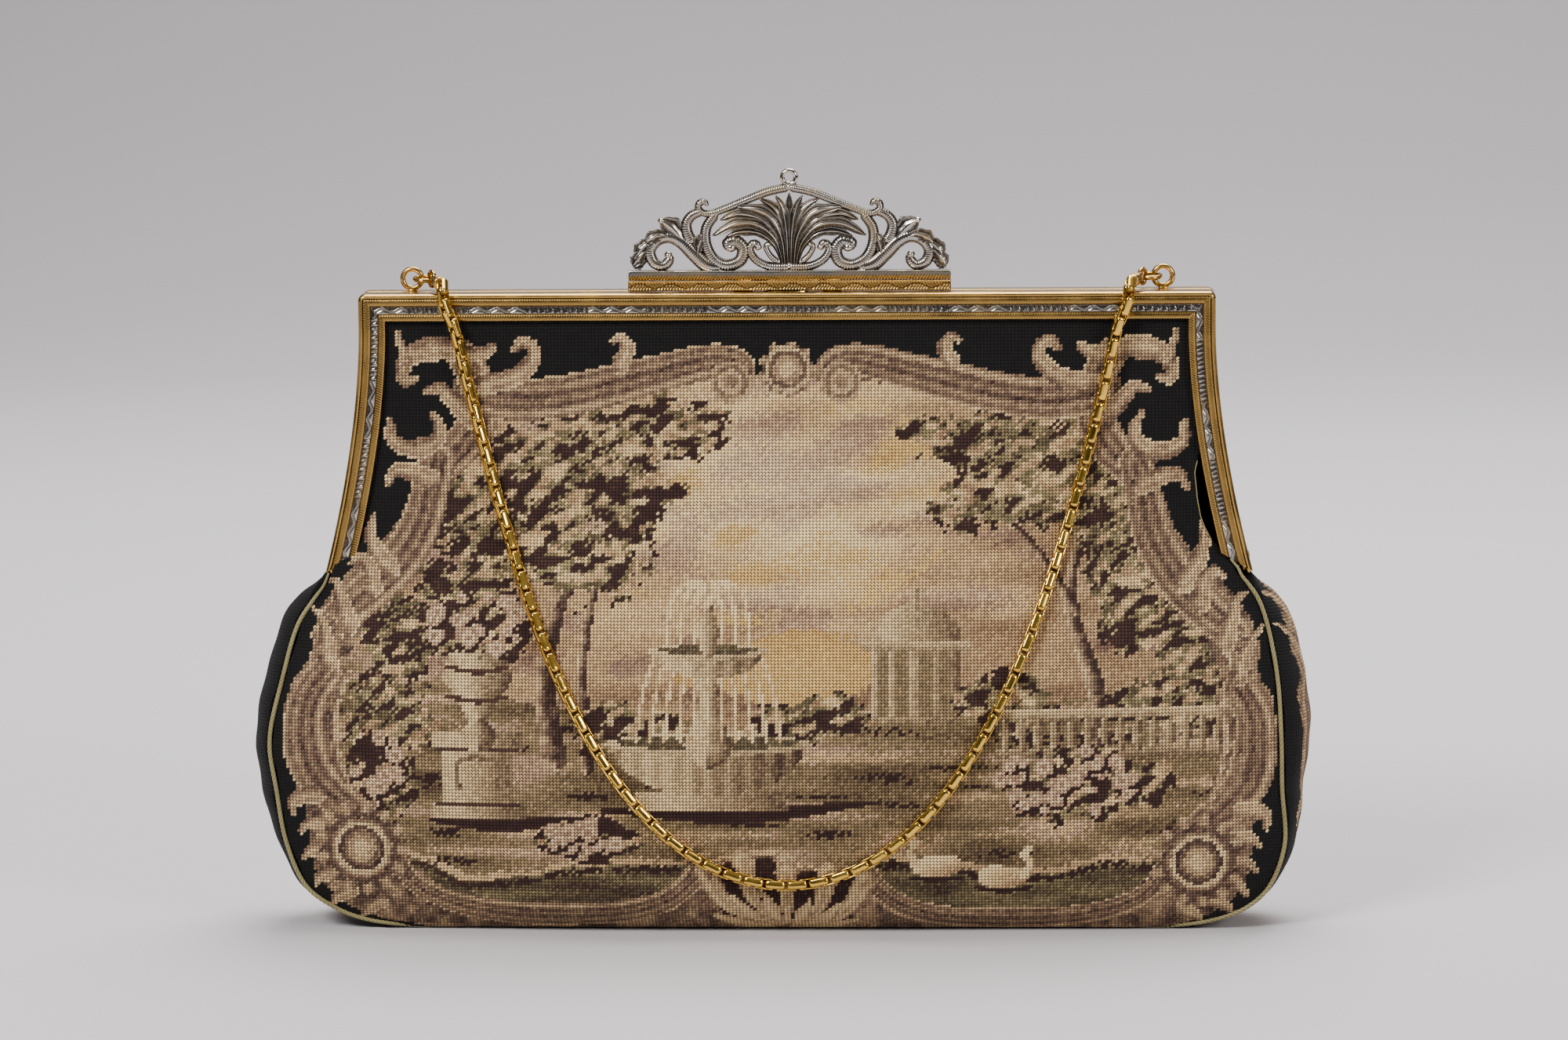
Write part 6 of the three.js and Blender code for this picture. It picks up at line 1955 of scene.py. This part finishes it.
def link_tree(material):
    """Box links bent from strip, threaded along a curve with every other one turned by a quarter."""
    tree = bpy.data.node_groups.new("box_links", "GeometryNodeTree")
    sockets = {}
    face = tree.interface
    face.new_socket("Geometry", in_out="INPUT", socket_type="NodeSocketGeometry")
    for name in LINK_SIZES:
        sockets[name] = face.new_socket(name, in_out="INPUT", socket_type="NodeSocketFloat").identifier
    face.new_socket("Geometry", in_out="OUTPUT", socket_type="NodeSocketGeometry")
    start, end = tree.nodes.new("NodeGroupInput"), tree.nodes.new("NodeGroupOutput")
    given = start.outputs
    nodes = Nodes(tree)
    add, sum_of = nodes.node, nodes.sum

    across = sum_of("SUBTRACT", given["Link width"], given["Strip thickness"])
    length = sum_of("SUBTRACT", given["Link length"], given["Strip thickness"])
    box = add("GeometryNodeCurvePrimitiveQuadrilateral", {"Width": across, "Height": length})
    corners = {"Curve": box.outputs["Curve"], "Radius": LINK_CORNER * MM, "Count": CORNER_POINTS}
    loop = add("GeometryNodeFilletCurve", corners, mode="POLY").outputs["Curve"]
    even = add("GeometryNodeResampleCurve", {"Curve": loop, "Count": LINK_POINTS}).outputs["Curve"]
    place = add("ShaderNodeSeparateXYZ", {"Vector": add("GeometryNodeInputPosition").outputs["Position"]})
    away = sum_of("ABSOLUTE", place.outputs["Y"])
    half = sum_of("MULTIPLY", length, 0.5)
    taper = {"Value": away, "From Min": sum_of("SUBTRACT", half, LINK_TAPER * MM), "From Max": half,
             "To Min": 1.0, "To Max": LINK_NECK}
    waist = add("ShaderNodeMapRange", taper, interpolation_type="SMOOTHSTEP").outputs["Result"]
    shade = {"Value": away, "From Min": sum_of("SUBTRACT", half, LINK_SHADE * MM), "From Max": half,
             "To Min": 0.0, "To Max": LINK_DARK}
    dark = add("ShaderNodeMapRange", shade).outputs["Result"]
    marked = add("GeometryNodeStoreNamedAttribute", {"Geometry": even, "Name": "Hollow", "Value": dark})
    ring = add("GeometryNodeCurvePrimitiveCircle", {"Resolution": STRIP_SIDES, "Radius": 0.5})
    across_strip = {"X": given["Strip thickness"], "Y": given["Strip width"], "Z": 1.0}
    section = add("ShaderNodeCombineXYZ", across_strip).outputs["Vector"]
    strip = add("GeometryNodeTransform", {"Geometry": ring.outputs["Curve"], "Scale": section})
    sides = {"Curve": marked.outputs["Geometry"], "Profile Curve": strip.outputs["Geometry"], "Scale": waist}
    bent = add("GeometryNodeCurveToMesh", sides)
    stand = {"Geometry": bent.outputs["Mesh"], "Rotation": (math.pi / 2, 0, 0)}
    upright = add("GeometryNodeTransform", stand)
    spaced = {"Curve": given["Geometry"], "Length": given["Spacing"]}
    points = add("GeometryNodeCurveToPoints", spaced, mode="LENGTH")
    along = add("FunctionNodeAlignRotationToVector", {"Vector": points.outputs["Tangent"]}, axis="Z")
    forward = {"Rotation": along.outputs["Rotation"], "Vector": (0, -1, 0)}
    facing = add("FunctionNodeAlignRotationToVector", forward, axis="Y", pivot_axis="Z")
    step = sum_of("ADD", given["Twist"], math.pi / 2)
    number = add("GeometryNodeInputIndex").outputs[0]
    angle = sum_of("ADD", sum_of("MULTIPLY", number, step), given["Turn"])
    roll = add("FunctionNodeAxisAngleToRotation", {"Axis": (0, 0, 1), "Angle": angle})
    turns = {"Rotation": facing.outputs["Rotation"], "Rotate By": roll.outputs["Rotation"]}
    turned = add("FunctionNodeRotateRotation", turns, rotation_space="LOCAL")
    places = {"Points": points.outputs["Points"], "Instance": upright.outputs["Geometry"],
              "Rotation": turned.outputs["Rotation"]}
    copies = add("GeometryNodeInstanceOnPoints", places)
    real = add("GeometryNodeRealizeInstances", {"Geometry": copies.outputs["Instances"]})
    finish = add("GeometryNodeSetMaterial", {"Geometry": real.outputs["Geometry"], "Material": material})
    tree.links.new(finish.outputs["Geometry"], end.inputs["Geometry"])
    return tree, sockets


class BAG_OT_chain(bpy.types.Operator):
    """Threads the square links along the chain's line"""

    bl_idname = "evening_bag.chain"
    bl_label = "Chain"

    def execute(self, context):
        chain = context.scene.bag_chain
        lead = round(LINK_LEAD / CHAIN_STEP)
        run = even_run(chain_run(), CHAIN_STEP)[lead:-lead] * MM
        curve = bpy.data.curves.new("chain_line", "CURVE")
        curve.dimensions = "3D"
        spline = curve.splines.new("POLY")
        spline.points.add(len(run) - 1)
        spline.points.foreach_set("co", np.column_stack([run, np.ones(len(run))]).ravel())
        line = bpy.data.objects.new("chain_line", curve)
        context.scene.collection.objects.link(line)
        tree, sockets = link_tree(bright_gilt_material())
        modifier = line.modifiers.new("Links", "NODES")
        modifier.node_group = tree
        for name, setting in LINK_SIZES.items():
            modifier[sockets[name]] = getattr(chain, setting)
        context.view_layer.update()
        graph = context.evaluated_depsgraph_get()
        mesh = bpy.data.meshes.new_from_object(line.evaluated_get(graph), depsgraph=graph)
        bpy.data.objects.remove(line)
        if not len(mesh.polygons):
            raise RuntimeError("the chain has no links")
        mesh.name = "chain_links"
        dressed(mesh, BAG, "bright_gilt", "chain")
        return {"FINISHED"}


# Stage
class BAG_OT_stage(bpy.types.Operator):
    """Sets the camera, the soft lights and the paper sweep"""

    bl_idname = "evening_bag.stage"
    bl_label = "Stage"

    def execute(self, context):
        self.camera(context)
        self.sweep()
        self.lights(context)
        self.room(context)
        return {"FINISHED"}

    def camera(self, context):
        stage = context.scene.bag_stage
        data = bpy.data.cameras.new("camera")
        data.sensor_width = SENSOR_WIDTH
        data.lens = data.sensor_width / 2 / math.tan(stage.view_angle / 2)
        data.clip_start = CLIP_START
        camera = bpy.data.objects.new("camera", data)
        level, rise = math.cos(stage.elevation), math.sin(stage.elevation)
        back = Vector((math.sin(stage.azimuth) * level, -math.cos(stage.azimuth) * level, rise))
        facing = (-back).to_track_quat("-Z", "Y").to_matrix() @ Matrix.Rotation(-stage.roll, 3, "Z")
        camera.matrix_world = Matrix.Translation(Vector(stage.aim) + back * stage.distance) @ facing.to_4x4()
        context.scene.collection.objects.link(camera)
        context.scene.camera = camera

    def sweep(self):
        """Floor and backdrop in one curved sheet of paper."""
        line = [(SWEEP_FRONT, 0), (SWEEP_BEND, 0)]
        for t in np.linspace(0, math.pi / 2, SWEEP_STEPS):
            line.append((SWEEP_BEND + SWEEP_RADIUS * math.sin(t), SWEEP_RADIUS * (1 - math.cos(t))))
        line.append((SWEEP_BEND + SWEEP_RADIUS, SWEEP_TOP))
        points = [(x, y, z) for y, z in line for x in (-SWEEP_HALF_WIDTH, SWEEP_HALF_WIDTH)]
        faces = [(2 * i, 2 * i + 1, 2 * i + 3, 2 * i + 2) for i in range(len(line) - 1)]
        mesh = bpy.data.meshes.new("paper_sweep")
        mesh.from_pydata(points, [], faces)
        mesh.materials.append(stage_material())
        mesh.polygons.foreach_set("use_smooth", np.ones(len(faces), bool))
        sweep = bpy.data.objects.new("paper_sweep", mesh)
        bpy.context.scene.collection.objects.link(sweep)

    def lights(self, context):
        """Two soft lamps in front, one above and one on the backdrop."""
        for name, place, aim, size, power in LAMPS:
            data = bpy.data.lights.new(name, "AREA")
            data.size = size
            data.energy = power
            lamp = bpy.data.objects.new(name, data)
            lamp.location = place
            lamp.rotation_euler = (Vector(aim) - Vector(place)).to_track_quat("-Z", "Y").to_euler()
            context.scene.collection.objects.link(lamp)

    def room(self, context):
        """A room that darkens downwards."""
        world = bpy.data.worlds.new("studio_room")
        world.use_nodes = True
        nodes = Nodes(world.node_tree)
        where = nodes.node("ShaderNodeTexCoord").outputs["Generated"]
        height = nodes.node("ShaderNodeSeparateXYZ", {"Vector": where}).outputs["Z"]
        room = nodes.node("ShaderNodeValToRGB", {"Fac": height})
        for element, (position, colour) in zip(room.color_ramp.elements, ROOM_TONES):
            element.position = position
            element.color = colour
        light = nodes.nodes["Background"].inputs
        nodes.put(light["Color"], room.outputs["Color"])
        nodes.put(light["Strength"], ROOM_STRENGTH)
        context.scene.world = world


class BAG_PT_sidebar(bpy.types.Panel):
    """Lists the bag's sizes, finishes and pieces"""

    bl_label = "Evening Bag"
    bl_space_type = "VIEW_3D"
    bl_region_type = "UI"
    bl_category = "Evening Bag"

    def draw(self, context):
        for settings in SETTINGS:
            box = self.layout.box()
            group = getattr(context.scene, settings)
            for name in group.bl_rna.properties.keys():
                if name not in ("rna_type", "name"):
                    box.prop(group, name)
        for operator in OPERATORS:
            self.layout.operator(operator.bl_idname)


SETTINGS = {
    "bag_cloth": ClothSettings,
    "bag_metal": MetalSettings,
    "bag_chain": ChainSettings,
    "bag_stage": StageSettings,
}
OPERATORS = (
    BAG_OT_stage,
    BAG_OT_panels,
    BAG_OT_piping,
    BAG_OT_frame,
    BAG_OT_clasp,
    BAG_OT_crest,
    BAG_OT_rings,
    BAG_OT_chain,
)


def register():
    for group in SETTINGS.values():
        bpy.utils.register_class(group)
    for name, group in SETTINGS.items():
        setattr(bpy.types.Scene, name, bpy.props.PointerProperty(type=group))
    for operator in OPERATORS:
        bpy.utils.register_class(operator)
    bpy.utils.register_class(BAG_PT_sidebar)


def unregister():
    bpy.utils.unregister_class(BAG_PT_sidebar)
    for operator in reversed(OPERATORS):
        bpy.utils.unregister_class(operator)
    for name, group in SETTINGS.items():
        delattr(bpy.types.Scene, name)
        bpy.utils.unregister_class(group)


def main():
    register()
    for operator in OPERATORS:
        group, name = operator.bl_idname.split(".")
        getattr(getattr(bpy.ops, group), name)()


if __name__ == "__main__":
    main()
